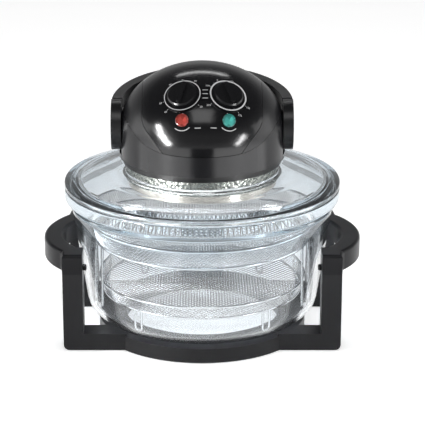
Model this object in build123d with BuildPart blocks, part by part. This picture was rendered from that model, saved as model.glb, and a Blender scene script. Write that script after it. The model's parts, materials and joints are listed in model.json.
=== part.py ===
from build123d import *
import math
import os

os.makedirs("parts", exist_ok=True)

# Countertop halogen oven: a glass bowl in a black stand, and a glass lid that
# carries the heater, the fan and the controls.  Millimetres, +Z up, front
# faces -Y, origin on the table under the middle of the bowl.

# ---- clearances -------------------------------------------------------------
gap = 0.3              # between pieces that part from each other
seat = 0.2             # between pieces that are fixed together
run = 0.06             # radial running fit of a shaft in its bore
grip_fit = 0.02        # radial fit of a piece that is pressed on a shaft

# ---- main sizes -------------------------------------------------------------
collar_r = 170.0       # the bowl's collar, the widest part of the glass
bowl_foot_r = collar_r - 64.0
head_r = 101.8         # the round head that the lid carries
pan_r = head_r - 11.8

# ---- stand ------------------------------------------------------------------
foot_height = 1.0      # rubber feet stand this far below the stand
ring_outer = collar_r - 40.5
ring_inner = bowl_foot_r - 10.0
ring_top = 19.0
arm_y = 73.5           # middle of each arm and post
arm_width = 30.0
arm_top = 22.3
arm_lap = 4.0          # the arms start this far inside the ring's bore
arm_relief_r = ring_outer - 5.5   # arms are cut down to the ring inside this radius
post_in_x = collar_r - 25.0
post_out_x = collar_r - 0.5
post_top = 99.0
post_corner = 7.0
grip_height = 25.0
grip_centre_x = collar_r - 85.5   # centre of the arcs of the grip's plan
grip_outer_r = 112.0
grip_band = 24.0
grip_end_x = collar_r + 1.2     # where the outer arc runs out
grip_end_y = 71.0
grip_edge = 4.0
nub_r = 4.0
nub_reach = 4.5
foot_pad_r = 9.0
foot_stub_r = 4.0
foot_stub = 5.0
foot_x = collar_r - 36.0
grip_screw_x = collar_r - 13.5
screw_head_r = 5.0
screw_head = 3.5
screw_shank_r = 2.0
screw_bite = 12.0      # depth of a grip screw in its grip

# ---- glass bowl ---------------------------------------------------------------
bowl_wall = 5.0
bowl_foot_z = 17.0
bowl_foot_height = 4.0
bowl_corner_r = 35.0
bowl_corner_at = collar_r - 59.0
bowl_draft = 8.0       # degrees from upright
bowl_neck_z = 165.0
collar_z = 175.0
rim_z = 188.0
rim_edge = 2.0

# ---- racks --------------------------------------------------------------------
high_top_r = collar_r - 29.0
high_top_z = 147.0
high_floor_r = collar_r - 36.0
high_floor_z = 124.0
low_top_r = collar_r - 41.5
low_top_z = 73.0
low_floor_r = collar_r - 46.0
low_floor_z = 57.8
rack_ring_wire = 2.0   # radii of the wires
low_ring_wire = 1.5
rack_leg_wire = 1.5
rack_post_wire = 1.0
rack_posts = 24
mesh_pitch = 15.0
mesh_hole = 12.6
mesh_sheet = 1.4
high_leg_width = 30.0
low_leg_width = 10.0
high_leg_r = high_floor_r - 0.2
low_leg_r = low_floor_r - 0.2

# ---- glass lid ------------------------------------------------------------------
lid_wall = 5.0
lid_edge_z = 6.2       # thickness of the flange at its edge
lid_shoulder_r = collar_r - 17.0
lid_shoulder_z = 199.0
lid_crown_r = pan_r + 5.0
lid_crown_z = 206.5
lid_crown_rise = 1.2   # bulge of the crown over a straight cone
lid_lip_r = collar_r - 11.4
lid_lip_drop = 4.0     # the lip reaches this far below the rim
lid_collar_z = 208.0
lid_collar_drop = 8.5
lid_hole_r = pan_r + 1.5

# ---- head: pan, heater, neck ------------------------------------------------------
pan_wall = 1.0
pan_bottom = 188.0
pan_top = 218.0
ring_band = 4.5        # radial width of the retaining ring
ring_thick = 1.8
clamp_r = pan_r + 3.0
neck_r = head_r - 4.3
neck_in_r = pan_r - 6.0
neck_screw_r = pan_r - 0.5
neck_top = 226.0
heater_r = pan_r * 2 / 3
heater_tube_r = 5.0
heater_z = 203.0
heater_open_at = 90.0  # degrees round from +X to the middle of the tube's gap
hanger_angles = (150.0, 270.0, 30.0)
heater_gap = 40.0      # degrees left open between the tube's ends
holder_span = 9.0      # degrees
holder_r = 8.0
guard_thick = 1.5
guard_wire = 2.0
guard_rings = 4
shaft_r = 3.0
shaft_bottom = 191.5
fan_r = 40.0
fan_bottom = 196.0
fan_height = 10.0
fan_blades = 8
cooling_r = 58.0
cooling_bottom = 231.0
cooling_height = 9.0
cooling_blades = 9
sheet = 1.5            # steel sheet of the chassis and the brackets
bracket_x = 71.0
bracket_width = 36.0
bracket_z = 244.0
motor_r = 30.0
motor_height = 27.0

# ---- head: housing ------------------------------------------------------------------
dome_base = 258.6      # the dome springs from the cowl here
dome_height = head_r - 20.4
dome_arc = 89.6        # degrees; a small flat is left at the very top
shell = 2.5
flat_x = head_r - 3.7          # the housing is flat at both sides
flat_z = 231.5
seam_gap = 0.4
rear_seam_z = 279.0
panel_half = head_r - 29.8
panel_rear_y = 8.0
seam_points = [(26, 251), (44, 252), (70, 260), (89, 276), (110, 294)]
panel_points = [(panel_half, 290), (67, 277), (58.5, 268), (50, 257), (38, 246)]
vent_slots = 6
vent_width = 3.0
vent_height = 16.0
vent_z = 243.0

# ---- controls -------------------------------------------------------------------------
knob_y = (34.8 - head_r, 36.7 - head_r)
knob_x = (-23.4, 30.4)
knob_r = 17.8
knob_height = 4.6
knob_bar = 6.0
knob_bar_height = 3.6
knob_bar_end = 3.0     # the bar stops this far inside the rim
dial_r = 23.0
dial_rise = 1.2
lamp_y = (12.8 - head_r, 14.8 - head_r)
lamp_x = (-23.8, 31.7)
lamp_r = 8.0
lamp_rise = 1.2
unit_r = 17.0
unit_depth = 24.0
unit_below = 6.5

# ---- handle ---------------------------------------------------------------------------
hinge_z = 263.5
hub_r = 31.0
hub_in_x = flat_x + 0.4
hub_out_x = hub_in_x + 12.5
hub_edge = 3.0
arch_rise = 8.5        # degrees
arch_top_z = 294.0     # top face of the arch beside the hinge
arch_start_y = 10.0
arch_thick = 14.0
pin_r = 5.0
cam_throw = 2.4
cam_r = 5.6
cam_x = head_r - 17.8           # middle of the cam and of the switch
cam_width = 4.0
switch_width = 9.5
switch_x = cam_x + switch_width / 2
switch_half_y = 9.0
switch_height = 13.5

# ---- supply ---------------------------------------------------------------------------
inlet_half_x = 14.0
inlet_bottom = 234.0
inlet_height = 18.0
inlet_depth = 17.0
inlet_wall = 2.5
inlet_face_y = head_r + 0.8
terminal_back = 12.0    # from the inlet's end to the middle of the terminal block
terminal_half = 6.0


def save(piece, name):
    """Label a finished piece and write it under its name."""
    piece.part.label = name
    export_step(piece.part, f"parts/{name}.step")


def upright(angle):
    """Plane through the Z axis: its x runs out at the angle, its y runs up."""
    turn = math.radians(angle)
    return Plane(
        origin=(0, 0, 0),
        x_dir=(math.cos(turn), math.sin(turn), 0),
        z_dir=(math.sin(turn), -math.cos(turn), 0),
    )


def dome_plane(x, y):
    """Plane on the dome's outer face at x, y; its normal points outwards."""
    rise = dome_height * math.sqrt(1 - (x * x + y * y) / head_r**2)
    nx = x / head_r**2
    ny = y / head_r**2
    nz = rise / dome_height**2
    return Plane(
        origin=(x, y, dome_base + rise), x_dir=(-ny, nx, 0), z_dir=(nx, ny, nz)
    )


# ================================ stand ==================================================
stand_bottom = foot_height
recess_r = bowl_foot_r + 0.5
recess_z = bowl_foot_z - gap
arm_start_x = ring_inner - arm_lap
sides = [(sx, sy) for sx in (-1, 1) for sy in (-1, 1)]
arm_length = post_out_x - arm_start_x
arm_places = [(sx * (arm_start_x + arm_length / 2), sy * arm_y) for sx, sy in sides]
post_width = post_out_x - post_in_x
post_places = [(sx * (post_in_x + post_width / 2), sy * arm_y) for sx, sy in sides]
foot_places = [(sx * foot_x, sy * arm_y) for sx, sy in sides]
grip_screw_places = [(sx * grip_screw_x, sy * arm_y) for sx, sy in sides]
grip_screw_head_z = post_top - 11.0

with BuildPart() as stand:
    with BuildSketch(Plane.XY.offset(stand_bottom)):
        Circle(ring_outer)
    extrude(amount=ring_top - stand_bottom)
    with BuildSketch(Plane.XY.offset(stand_bottom)):
        with Locations(*arm_places):
            Rectangle(arm_length, arm_width)
    extrude(amount=arm_top - stand_bottom)
    with BuildSketch(Plane.XY.offset(stand_bottom)):
        with Locations(*post_places):
            Rectangle(post_width, arm_width)
    extrude(amount=post_top - stand_bottom)
    low_corners = stand.edges().filter_by(Axis.Y).filter_by(
        lambda e: abs(abs(e.center().X) - post_out_x) < 0.1
        and abs(e.center().Z - stand_bottom) < 0.1
    )
    fillet(low_corners, post_corner)
    with BuildSketch(Plane.XY.offset(ring_top)):
        Circle(arm_relief_r)
    extrude(amount=arm_top - ring_top + 1, mode=Mode.SUBTRACT)
    with BuildSketch(Plane.XY.offset(recess_z)):
        Circle(recess_r)
    extrude(amount=arm_top, mode=Mode.SUBTRACT)
    with BuildSketch(Plane.XY):
        Circle(ring_inner)
    extrude(amount=arm_top, mode=Mode.SUBTRACT)
    with BuildSketch(Plane.XY):
        with Locations(*foot_places):
            Circle(foot_stub_r + seat)
    extrude(amount=stand_bottom + foot_stub + seat, mode=Mode.SUBTRACT)
    with BuildSketch(Plane.XY):
        with Locations(*grip_screw_places):
            Circle(screw_head_r + gap)
    extrude(amount=grip_screw_head_z + screw_head, mode=Mode.SUBTRACT)
    with BuildSketch(Plane.XY):
        with Locations(*grip_screw_places):
            Circle(screw_shank_r + seat)
    extrude(amount=post_top + 1, mode=Mode.SUBTRACT)
save(stand, "stand")

with BuildPart() as stand_feet:
    with BuildSketch():
        with Locations(*foot_places):
            Circle(foot_pad_r)
    extrude(amount=foot_height)
    with BuildSketch():
        with Locations(*foot_places):
            Circle(foot_stub_r)
    extrude(amount=foot_height + foot_stub)
save(stand_feet, "stand_feet")

with BuildPart() as grip_screws:
    with BuildSketch(Plane.XY.offset(grip_screw_head_z)):
        with Locations(*grip_screw_places):
            Circle(screw_head_r)
    extrude(amount=screw_head)
    with BuildSketch(Plane.XY.offset(grip_screw_head_z)):
        with Locations(*grip_screw_places):
            Circle(screw_shank_r)
    extrude(amount=post_top + screw_bite - grip_screw_head_z)
save(grip_screws, "grip_screws")

# ================================ grips ==================================================
arm_in_y = arm_y - arm_width / 2
arm_out_y = arm_y + arm_width / 2
grip_inner_r = grip_outer_r - grip_band
grip_inner_end_x = grip_centre_x + math.sqrt(grip_inner_r**2 - arm_in_y**2)

with BuildPart() as grip_right:
    with BuildSketch(Plane.XY.offset(post_top)):
        with BuildLine():
            outer_tip = (grip_centre_x + grip_outer_r, 0)
            inner_tip = (grip_centre_x + grip_inner_r, 0)
            ThreePointArc((grip_end_x, -grip_end_y), outer_tip, (grip_end_x, grip_end_y))
            Polyline(
                (grip_end_x, grip_end_y),
                (post_out_x, arm_out_y),
                (post_in_x, arm_out_y),
                (post_in_x, arm_in_y),
                (grip_inner_end_x, arm_in_y),
            )
            ThreePointArc(
                (grip_inner_end_x, arm_in_y), inner_tip, (grip_inner_end_x, -arm_in_y)
            )
            Polyline(
                (grip_inner_end_x, -arm_in_y),
                (post_in_x, -arm_in_y),
                (post_in_x, -arm_out_y),
                (post_out_x, -arm_out_y),
                (grip_end_x, -grip_end_y),
            )
        make_face()
    extrude(amount=grip_height)
    top_edges = grip_right.edges().group_by(Axis.Z)[-1].filter_by(
        lambda e: e.center().X > post_out_x or abs(e.center().Y) > arm_out_y - 0.1
    )
    fillet(top_edges, grip_edge)
    with BuildSketch(Plane.YZ.offset(post_in_x - nub_reach)):
        with Locations((arm_y, post_top + nub_r + 0.5), (-arm_y, post_top + nub_r + 0.5)):
            Circle(nub_r)
    extrude(amount=nub_reach + 1)
    nub_edges = grip_right.edges().group_by(Axis.X)[0]
    fillet(nub_edges, nub_r / 2)
    with BuildSketch(Plane.XY.offset(post_top)):
        with Locations((grip_screw_x, arm_y), (grip_screw_x, -arm_y)):
            Circle(screw_shank_r + run)
    extrude(amount=screw_bite + seat, mode=Mode.SUBTRACT)
save(grip_right, "grip_right")

with BuildPart() as grip_left:
    mirror(grip_right.part, about=Plane.YZ)
save(grip_left, "grip_left")

# ================================ glass bowl =============================================
draft = math.radians(bowl_draft)
corner_z = bowl_foot_z + bowl_foot_height + bowl_corner_r


def wall_point(radius):
    """Where the corner arc of this radius runs into the leaning wall."""
    return (
        bowl_corner_at + radius * math.cos(draft),
        corner_z - radius * math.sin(draft),
    )


def wall_at(start, height):
    """Point of the leaning wall at a height, from the point where it starts."""
    return (start[0] + (height - start[1]) * math.tan(draft), height)


def arc_mid(radius):
    """Middle of the corner arc of this radius."""
    half = math.radians(-90) + (math.radians(90) - draft) / 2
    return (
        bowl_corner_at + radius * math.cos(half),
        corner_z + radius * math.sin(half),
    )


bowl_inner_r = bowl_corner_r - bowl_wall
bowl_floor_z = corner_z - bowl_inner_r
outer_start = wall_point(bowl_corner_r)
inner_start = wall_point(bowl_inner_r)
neck_point = wall_at(outer_start, bowl_neck_z)
rim_inner = wall_at(inner_start, rim_z)

with BuildPart() as glass_bowl:
    with BuildSketch(Plane.XZ):
        with BuildLine():
            foot_top_z = bowl_foot_z + bowl_foot_height
            Polyline(
                (0, bowl_floor_z),
                (0, bowl_foot_z),
                (bowl_foot_r, bowl_foot_z),
                (bowl_foot_r, foot_top_z),
                (bowl_corner_at, foot_top_z),
            )
            ThreePointArc(
                (bowl_corner_at, foot_top_z), arc_mid(bowl_corner_r), outer_start
            )
            Line(outer_start, neck_point)
            TangentArc(
                neck_point, (collar_r, collar_z), tangent=(math.sin(draft), math.cos(draft))
            )
            Polyline((collar_r, collar_z), (collar_r, rim_z), rim_inner, inner_start)
            ThreePointArc(
                inner_start, arc_mid(bowl_inner_r), (bowl_corner_at, bowl_floor_z)
            )
            Line((bowl_corner_at, bowl_floor_z), (0, bowl_floor_z))
        make_face()
    revolve(axis=Axis.Z)
    rim_edges = glass_bowl.edges().group_by(Axis.Z)[-1]
    fillet(rim_edges, rim_edge)
save(glass_bowl, "glass_bowl")

# ================================ racks ==================================================


def mesh_cells(radius):
    """Middles of the square gaps whose corners stay inside the radius."""
    count = int(radius / mesh_pitch) + 1
    reach = mesh_hole / 2
    cells = []
    for i in range(-count, count + 1):
        for j in range(-count, count + 1):
            x = i * mesh_pitch
            y = j * mesh_pitch
            if math.hypot(abs(x) + reach, abs(y) + reach) < radius:
                cells.append((x, y))
    return cells


def rack_leg(radius, width, top_z, bottom_z):
    """U-shaped wire leg on the +X side: two uprights and the bar under them."""
    side = Plane.YZ.offset(radius)
    with BuildPart() as leg:
        with BuildLine(side) as path:
            FilletPolyline(
                (-width / 2, top_z),
                (-width / 2, bottom_z),
                (width / 2, bottom_z),
                (width / 2, top_z),
                radius=width / 2.5,
            )
        with BuildSketch(Plane(origin=path.line @ 0, z_dir=path.line % 0)) as wire:
            Circle(rack_leg_wire)
        sweep(wire.sketch, path=path.line)
    return leg.part


def rack_post(top_r, top_z, floor_r, floor_z):
    """Straight square wire on the +X side, from the floor ring to the top ring."""
    foot = Vector(floor_r, 0, floor_z)
    head = Vector(top_r, 0, top_z)
    with BuildPart() as post:
        with BuildSketch(Plane(origin=foot, x_dir=(0, 1, 0), z_dir=head - foot)) as wire:
            Rectangle(2 * rack_post_wire, 2 * rack_post_wire)
        extrude(wire.sketch, amount=(head - foot).length)
    return post.part


def mesh_floor(radius, height, cell_r):
    """Flat net on a level: a round sheet with its square gaps."""
    with BuildPart() as net:
        with BuildSketch(Plane.XY.offset(height)) as cells:
            Circle(radius)
            with Locations(*mesh_cells(cell_r)):
                Rectangle(mesh_hole, mesh_hole, mode=Mode.SUBTRACT)
        extrude(cells.sketch, amount=mesh_sheet)
    return net.part


leg_sink = bowl_inner_r - gap - rack_leg_wire
high_leg_z = corner_z - math.sqrt(leg_sink**2 - (high_leg_r - bowl_corner_at) ** 2)
low_leg_z = corner_z - math.sqrt(leg_sink**2 - (low_leg_r - bowl_corner_at) ** 2)

high_net_z = high_floor_z - rack_ring_wire - mesh_sheet
low_net_z = low_floor_z - low_ring_wire - mesh_sheet
racks = (
    (
        "high_rack", rack_ring_wire, (high_top_r, high_top_z), (high_floor_r, high_floor_z),
        high_net_z, (high_leg_r, high_leg_width, high_leg_z), (-20, 20, 160, 200),
    ),
    (
        "low_rack", low_ring_wire, (low_top_r, low_top_z), (low_floor_r, low_floor_z),
        low_net_z, (low_leg_r, low_leg_width, low_leg_z), (52, 128, 232, 308),
    ),
)

for rack_name, wire_r, top_ring, floor_ring, net_z, leg_foot, leg_angles in racks:
    post = rack_post(*top_ring, *floor_ring)
    leg = rack_leg(leg_foot[0], leg_foot[1], net_z, leg_foot[2])
    net = mesh_floor(
        floor_ring[0] + wire_r * math.tan(math.pi / 8), net_z, floor_ring[0] - wire_r
    )
    with BuildPart() as rack:
        with BuildSketch(Plane.XZ):
            with Locations(top_ring, floor_ring):
                RegularPolygon(wire_r, 8, major_radius=False, rotation=22.5)
        revolve(axis=Axis.Z)
        with PolarLocations(0, rack_posts, start_angle=180 / rack_posts):
            add(post)
    save(rack, rack_name)
    with BuildPart() as rack_floor:
        add(net)
    save(rack_floor, f"{rack_name}_floor")
    with BuildPart() as rack_legs:
        with Locations(*[Location((0, 0, 0), (0, 0, angle)) for angle in leg_angles]):
            add(leg)
    save(rack_legs, f"{rack_name}_legs")

# ================================ glass lid ==============================================
lid_bottom = rim_z + gap
lid_edge_top = lid_bottom + lid_edge_z
lid_hole_bottom = lid_collar_z - lid_collar_drop
lid_lip_z = rim_z - lid_lip_drop


def crown_mid(start, end):
    """Middle of the gently raised crown between two points of its profile."""
    return ((start[0] + end[0]) / 2, (start[1] + end[1]) / 2 + lid_crown_rise)


crown_outer = (lid_shoulder_r, lid_shoulder_z)
crown_inner = (lid_crown_r, lid_crown_z)
under_outer = (lid_shoulder_r - 2, lid_shoulder_z - lid_wall)
under_inner = (lid_crown_r + 2, lid_crown_z - lid_wall)

with BuildPart() as glass_lid:
    with BuildSketch(Plane.XZ):
        with BuildLine():
            Polyline(
                under_outer,
                (lid_shoulder_r, lid_shoulder_z - lid_wall - 1),
                (lid_shoulder_r, lid_lip_z),
                (lid_lip_r, lid_lip_z),
                (lid_lip_r, lid_bottom),
                (collar_r, lid_bottom),
                (collar_r, lid_edge_top - rim_edge),
                (collar_r - rim_edge, lid_edge_top),
                crown_outer,
            )
            ThreePointArc(crown_outer, crown_mid(crown_outer, crown_inner), crown_inner)
            Polyline(
                crown_inner,
                (lid_crown_r - 1, lid_collar_z),
                (lid_hole_r, lid_collar_z),
                (lid_hole_r, lid_hole_bottom),
                (lid_crown_r, lid_hole_bottom),
                under_inner,
            )
            ThreePointArc(under_inner, crown_mid(under_inner, under_outer), under_outer)
        make_face()
    revolve(axis=Axis.Z)
save(glass_lid, "glass_lid")


def ring_part(inner_r, outer_r, bottom, top):
    """Flat ring or disc round the Z axis."""
    with BuildPart() as ring:
        with BuildSketch(Plane.XY.offset(bottom)):
            Circle(outer_r)
            if inner_r > 0:
                Circle(inner_r, mode=Mode.SUBTRACT)
        extrude(amount=top - bottom)
    return ring.part


with BuildPart() as lid_gasket:
    add(ring_part(pan_r + seat, lid_hole_r - seat, lid_hole_bottom + seat, lid_collar_z))
save(lid_gasket, "lid_gasket")

# ================================ heater pan and neck ====================================
pan_ceiling = pan_top - pan_wall
shaft_hole_r = shaft_r + gap

with BuildPart() as reflector_pan:
    with BuildSketch(Plane.XZ):
        with BuildLine():
            Polyline(
                (pan_r, pan_bottom),
                (pan_r, pan_top),
                (shaft_hole_r, pan_top),
                (shaft_hole_r, pan_ceiling),
                (pan_r - pan_wall, pan_ceiling),
                (pan_r - pan_wall, pan_bottom),
                close=True,
            )
        make_face()
    revolve(axis=Axis.Z)
save(reflector_pan, "reflector_pan")

retainer_top = lid_hole_bottom - seat
with BuildPart() as retaining_ring:
    add(ring_part(pan_r + seat, pan_r + ring_band, retainer_top - ring_thick, retainer_top))
save(retaining_ring, "retaining_ring")

with BuildPart() as clamp_band:
    add(ring_part(pan_r + seat, clamp_r, lid_collar_z + seat, pan_top))
    band_rims = clamp_band.edges().filter_by(GeomType.CIRCLE)
    chamfer(band_rims.group_by(SortBy.RADIUS)[-1], seat * 2)
save(clamp_band, "clamp_band")

neck_bottom = pan_top + seat
with BuildPart() as neck_ring:
    add(ring_part(neck_in_r, neck_r, neck_bottom, neck_top))
    with BuildSketch(Plane.XY.offset(neck_bottom)):
        with PolarLocations(neck_screw_r, 4, start_angle=45):
            Circle(screw_shank_r)
    extrude(amount=neck_top - neck_bottom, mode=Mode.SUBTRACT)
save(neck_ring, "neck_ring")

with BuildPart() as insulation:
    add(ring_part(2 * shaft_r, neck_in_r - seat, neck_bottom, neck_top - seat))
save(insulation, "insulation")

# ================================ heater =================================================
tube_start = heater_open_at + heater_gap / 2
holder_gap = math.degrees(gap / heater_r)

with BuildPart() as halogen_tube:
    with BuildSketch(upright(tube_start)):
        with Locations((heater_r, heater_z)):
            Circle(heater_tube_r)
    revolve(axis=Axis.Z, revolution_arc=360 - heater_gap)
save(halogen_tube, "halogen_tube")

with BuildPart() as tube_holders:
    for start in (tube_start - holder_gap - holder_span, heater_open_at - heater_gap / 2 + holder_gap):
        with BuildSketch(upright(start)):
            with Locations((heater_r, (heater_z - holder_r + pan_ceiling - seat) / 2)):
                Rectangle(2 * holder_r, pan_ceiling - seat - heater_z + holder_r)
        revolve(axis=Axis.Z, revolution_arc=holder_span)
save(tube_holders, "tube_holders")

hanger_bottom = heater_z + heater_tube_r + seat
with BuildPart() as tube_hangers:
    for start in hanger_angles:
        with BuildSketch(upright(start)):
            with Locations((heater_r, (hanger_bottom + pan_ceiling - seat) / 2)):
                Rectangle(heater_tube_r, pan_ceiling - seat - hanger_bottom)
        revolve(axis=Axis.Z, revolution_arc=holder_span / 3)
save(tube_hangers, "tube_hangers")

guard_r = pan_r - pan_wall - gap
with BuildPart() as guard_grille:
    with BuildSketch(Plane.XY.offset(pan_bottom)):
        for i in range(guard_rings, -1, -1):
            ring_r = guard_r * (i + 1) / (guard_rings + 1)
            Circle(ring_r)
            Circle(ring_r - guard_wire, mode=Mode.SUBTRACT)
        Circle(2 * guard_wire)
        with PolarLocations(guard_r / 2, 6):
            Rectangle(guard_r - guard_wire, guard_wire)
    extrude(amount=guard_thick)
save(guard_grille, "guard_grille")

with BuildPart() as thermostat_sensor:
    with BuildSketch(Plane.XY.offset(heater_z)):
        with Locations((0, -(heater_r + pan_r - pan_wall + heater_tube_r) / 2)):
            Circle(heater_tube_r / 2)
    extrude(amount=pan_ceiling - seat - heater_z)
save(thermostat_sensor, "thermostat_sensor")

# ================================ fan and motor ==========================================
motor_bottom = bracket_z + sheet
motor_top = motor_bottom + motor_height


def paddle_wheel(radius, hub_r, bottom, height, blades, plate_on_top):
    """Hub, thin plate and upright radial blades round the shaft."""
    plate_z = bottom + height - sheet if plate_on_top else bottom
    with BuildPart() as wheel:
        with BuildSketch(Plane.XY.offset(plate_z)):
            Circle(radius)
        extrude(amount=sheet)
        with BuildSketch(Plane.XY.offset(bottom)):
            Circle(hub_r)
            with PolarLocations(radius / 2, blades):
                Rectangle(radius, sheet)
        extrude(amount=height)
        with BuildSketch(Plane.XY.offset(bottom)):
            Circle(shaft_r + grip_fit)
        extrude(amount=height, mode=Mode.SUBTRACT)
    return wheel.part


with BuildPart() as convection_fan:
    add(paddle_wheel(fan_r, 3 * shaft_r, fan_bottom, fan_height, fan_blades, True))
save(convection_fan, "convection_fan")

with BuildPart() as cooling_fan:
    add(
        paddle_wheel(
            cooling_r, 3 * shaft_r, cooling_bottom, cooling_height, cooling_blades, False
        )
    )
save(cooling_fan, "cooling_fan")

with BuildPart() as fan_shaft:
    with BuildSketch(Plane.XY.offset(shaft_bottom)):
        Circle(shaft_r)
    extrude(amount=motor_top - sheet - shaft_bottom)
save(fan_shaft, "fan_shaft")

with BuildPart() as fan_nut:
    with BuildSketch(Plane.XY.offset(shaft_bottom)):
        RegularPolygon(2 * shaft_r, 6)
        Circle(shaft_r + grip_fit, mode=Mode.SUBTRACT)
    extrude(amount=fan_bottom - seat - shaft_bottom)
save(fan_nut, "fan_nut")

with BuildPart() as chassis_plate:
    with BuildSketch(Plane.XY.offset(neck_top + seat)):
        Circle(head_r - 3 * shell - gap)
        Circle(shaft_hole_r, mode=Mode.SUBTRACT)
        with PolarLocations(neck_screw_r, 4, start_angle=45):
            Circle(screw_shank_r, mode=Mode.SUBTRACT)
    extrude(amount=sheet)
chassis_top = neck_top + seat + sheet
save(chassis_plate, "chassis_plate")

with BuildPart() as chassis_screws:
    with BuildSketch(Plane.XY.offset(chassis_top)):
        with PolarLocations(neck_screw_r, 4, start_angle=45):
            Circle(2 * screw_shank_r - seat)
    extrude(amount=sheet)
    with BuildSketch(Plane.XY.offset(neck_bottom + sheet)):
        with PolarLocations(neck_screw_r, 4, start_angle=45):
            Circle(screw_shank_r - run)
    extrude(amount=chassis_top - neck_bottom - sheet)
save(chassis_screws, "chassis_screws")

with BuildPart() as motor_bracket:
    with BuildSketch(Plane.XZ.offset(-bracket_width / 2)):
        with BuildLine():
            Polyline(
                (bracket_x + 12, chassis_top),
                (bracket_x + 12, chassis_top + sheet),
                (bracket_x + sheet, chassis_top + sheet),
                (bracket_x + sheet, motor_bottom),
                (0, motor_bottom),
                (0, bracket_z),
                (bracket_x, bracket_z),
                (bracket_x, chassis_top),
                close=True,
            )
        make_face()
    extrude(amount=bracket_width)
    mirror(about=Plane.YZ)
    with BuildSketch(Plane.XY.offset(bracket_z)):
        Circle(2 * shaft_r)
    extrude(amount=sheet, mode=Mode.SUBTRACT)
save(motor_bracket, "motor_bracket")

with BuildPart() as fan_motor:
    with BuildSketch(Plane.XY.offset(motor_bottom)):
        Circle(motor_r)
    extrude(amount=motor_height)
    chamfer(fan_motor.edges().group_by(Axis.Z)[-1], sheet)
    with BuildSketch(Plane.XY.offset(motor_bottom)):
        Circle(shaft_r + run)
    extrude(amount=motor_height - sheet + seat, mode=Mode.SUBTRACT)
save(fan_motor, "fan_motor")

# ================================ housing ================================================
cowl_bottom = neck_top + seat


def housing_solid(inset):
    """Closed housing body, drawn in by an inset: drum below, dome above."""
    radius = head_r - inset
    side = flat_x - inset
    height = dome_height - inset
    with BuildPart() as body:
        with BuildSketch(Plane.XZ):
            with BuildLine():
                wall = Polyline(
                    (0, cowl_bottom), (radius, cowl_bottom), (radius, dome_base)
                )
                arc = EllipticalCenterArc(
                    (0, dome_base), radius, height, 0, arc_size=dome_arc
                )
                top = arc @ 1
                Polyline(top, (0, top.Y), wall @ 0)
            make_face()
        revolve(axis=Axis.Z)
        with BuildSketch(Plane.XY.offset(flat_z - inset)):
            with Locations((side + head_r, 0), (-side - head_r, 0)):
                Rectangle(2 * head_r, 3 * head_r)
        extrude(amount=2 * dome_height, mode=Mode.SUBTRACT)
    return body.part


def below_seam(lift):
    """Everything under the seam between the cowl and the dome, raised by a lift."""
    right = [(x, z + lift) for x, z in seam_points]
    left = [(-x, z) for x, z in reversed(right)]
    low = cowl_bottom - head_r
    with BuildPart() as region:
        with BuildSketch(Plane.XZ):
            with BuildLine():
                Spline(*left, *right)
                Polyline(right[-1], (right[-1][0], low), (left[0][0], low), left[0])
            make_face()
        extrude(amount=1.5 * head_r)
        with BuildSketch(Plane.XY.offset(low)):
            with Locations((0, head_r)):
                Rectangle(3 * head_r, 2 * head_r)
        extrude(amount=rear_seam_z + lift - low)
    return region.part


def panel_region(spread):
    """Egg-shaped stretch of the dome's front that the panel takes, spread by a gap."""
    right = [(x + spread, z - spread) for x, z in panel_points]
    left = [(-x, z) for x, z in right]
    high = dome_base + dome_height + shell
    with BuildPart() as region:
        with BuildSketch(Plane.XZ.offset(-panel_rear_y - spread)):
            with BuildLine():
                Spline(*right)
                Line(right[-1], left[-1])
                Spline(*reversed(left))
                Polyline(left[0], (left[0][0], high), (right[0][0], high), right[0])
            make_face()
        extrude(amount=1.5 * head_r)
    return region.part


housing_void = housing_solid(shell)
cowl_zone = below_seam(0)
dome_zone = below_seam(seam_gap)
panel_zone = panel_region(0)
panel_hole = panel_region(seam_gap)
drum_void_r = head_r - 3 * shell
boss_r = pin_r + 4.0
lobe_top = hinge_z + cam_throw + cam_r
plunger_r = 2.0
plunger_rest = lobe_top + gap + 0.1
plunger_length = 11.0
switch_bottom = plunger_rest + 3.0

with BuildPart() as cowl:
    add(housing_solid(0))
    add(housing_void, mode=Mode.SUBTRACT)
    add(ring_part(drum_void_r, head_r - shell / 2, cowl_bottom, cowl_bottom + shell))
    add(cowl_zone, mode=Mode.INTERSECT)
    for side in (-1, 1):
        boss_plane = Plane.YZ.offset(side * (flat_x - shell - 5.0))
        with BuildSketch(boss_plane):
            with Locations((0, hinge_z)):
                Circle(boss_r)
        extrude(amount=side * 5.5)
    with BuildSketch(Plane.XY.offset(switch_bottom)):
        with Locations((-(switch_x + flat_x - shell / 2 + gap) / 2, 0)):
            Rectangle(flat_x - shell / 2 - switch_x - gap, 2 * switch_half_y)
    extrude(amount=4.0)
    with BuildSketch(Plane.YZ.offset(-head_r)):
        with Locations((0, hinge_z)):
            Circle(pin_r + run)
    extrude(amount=2 * head_r, mode=Mode.SUBTRACT)
    with BuildSketch(Plane.XZ.offset(-inlet_face_y - 1)):
        with Locations((0, inlet_bottom + inlet_height / 2)):
            Rectangle(2 * (inlet_half_x + seat), inlet_height + 2 * seat)
    extrude(amount=inlet_depth, mode=Mode.SUBTRACT)
    for side in (-1, 1):
        with BuildSketch(Plane.XZ.offset(-head_r - 1)):
            with Locations((side * (inlet_half_x + 6 * vent_width + 2), vent_z)):
                with GridLocations(2 * vent_width, 0, vent_slots, 1):
                    SlotOverall(vent_height, vent_width, rotation=90)
        extrude(amount=head_r / 2, mode=Mode.SUBTRACT)
save(cowl, "cowl")

with BuildPart() as dome:
    add(housing_solid(0))
    add(housing_void, mode=Mode.SUBTRACT)
    add(dome_zone, mode=Mode.SUBTRACT)
    add(panel_hole, mode=Mode.SUBTRACT)
save(dome, "dome")

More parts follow.
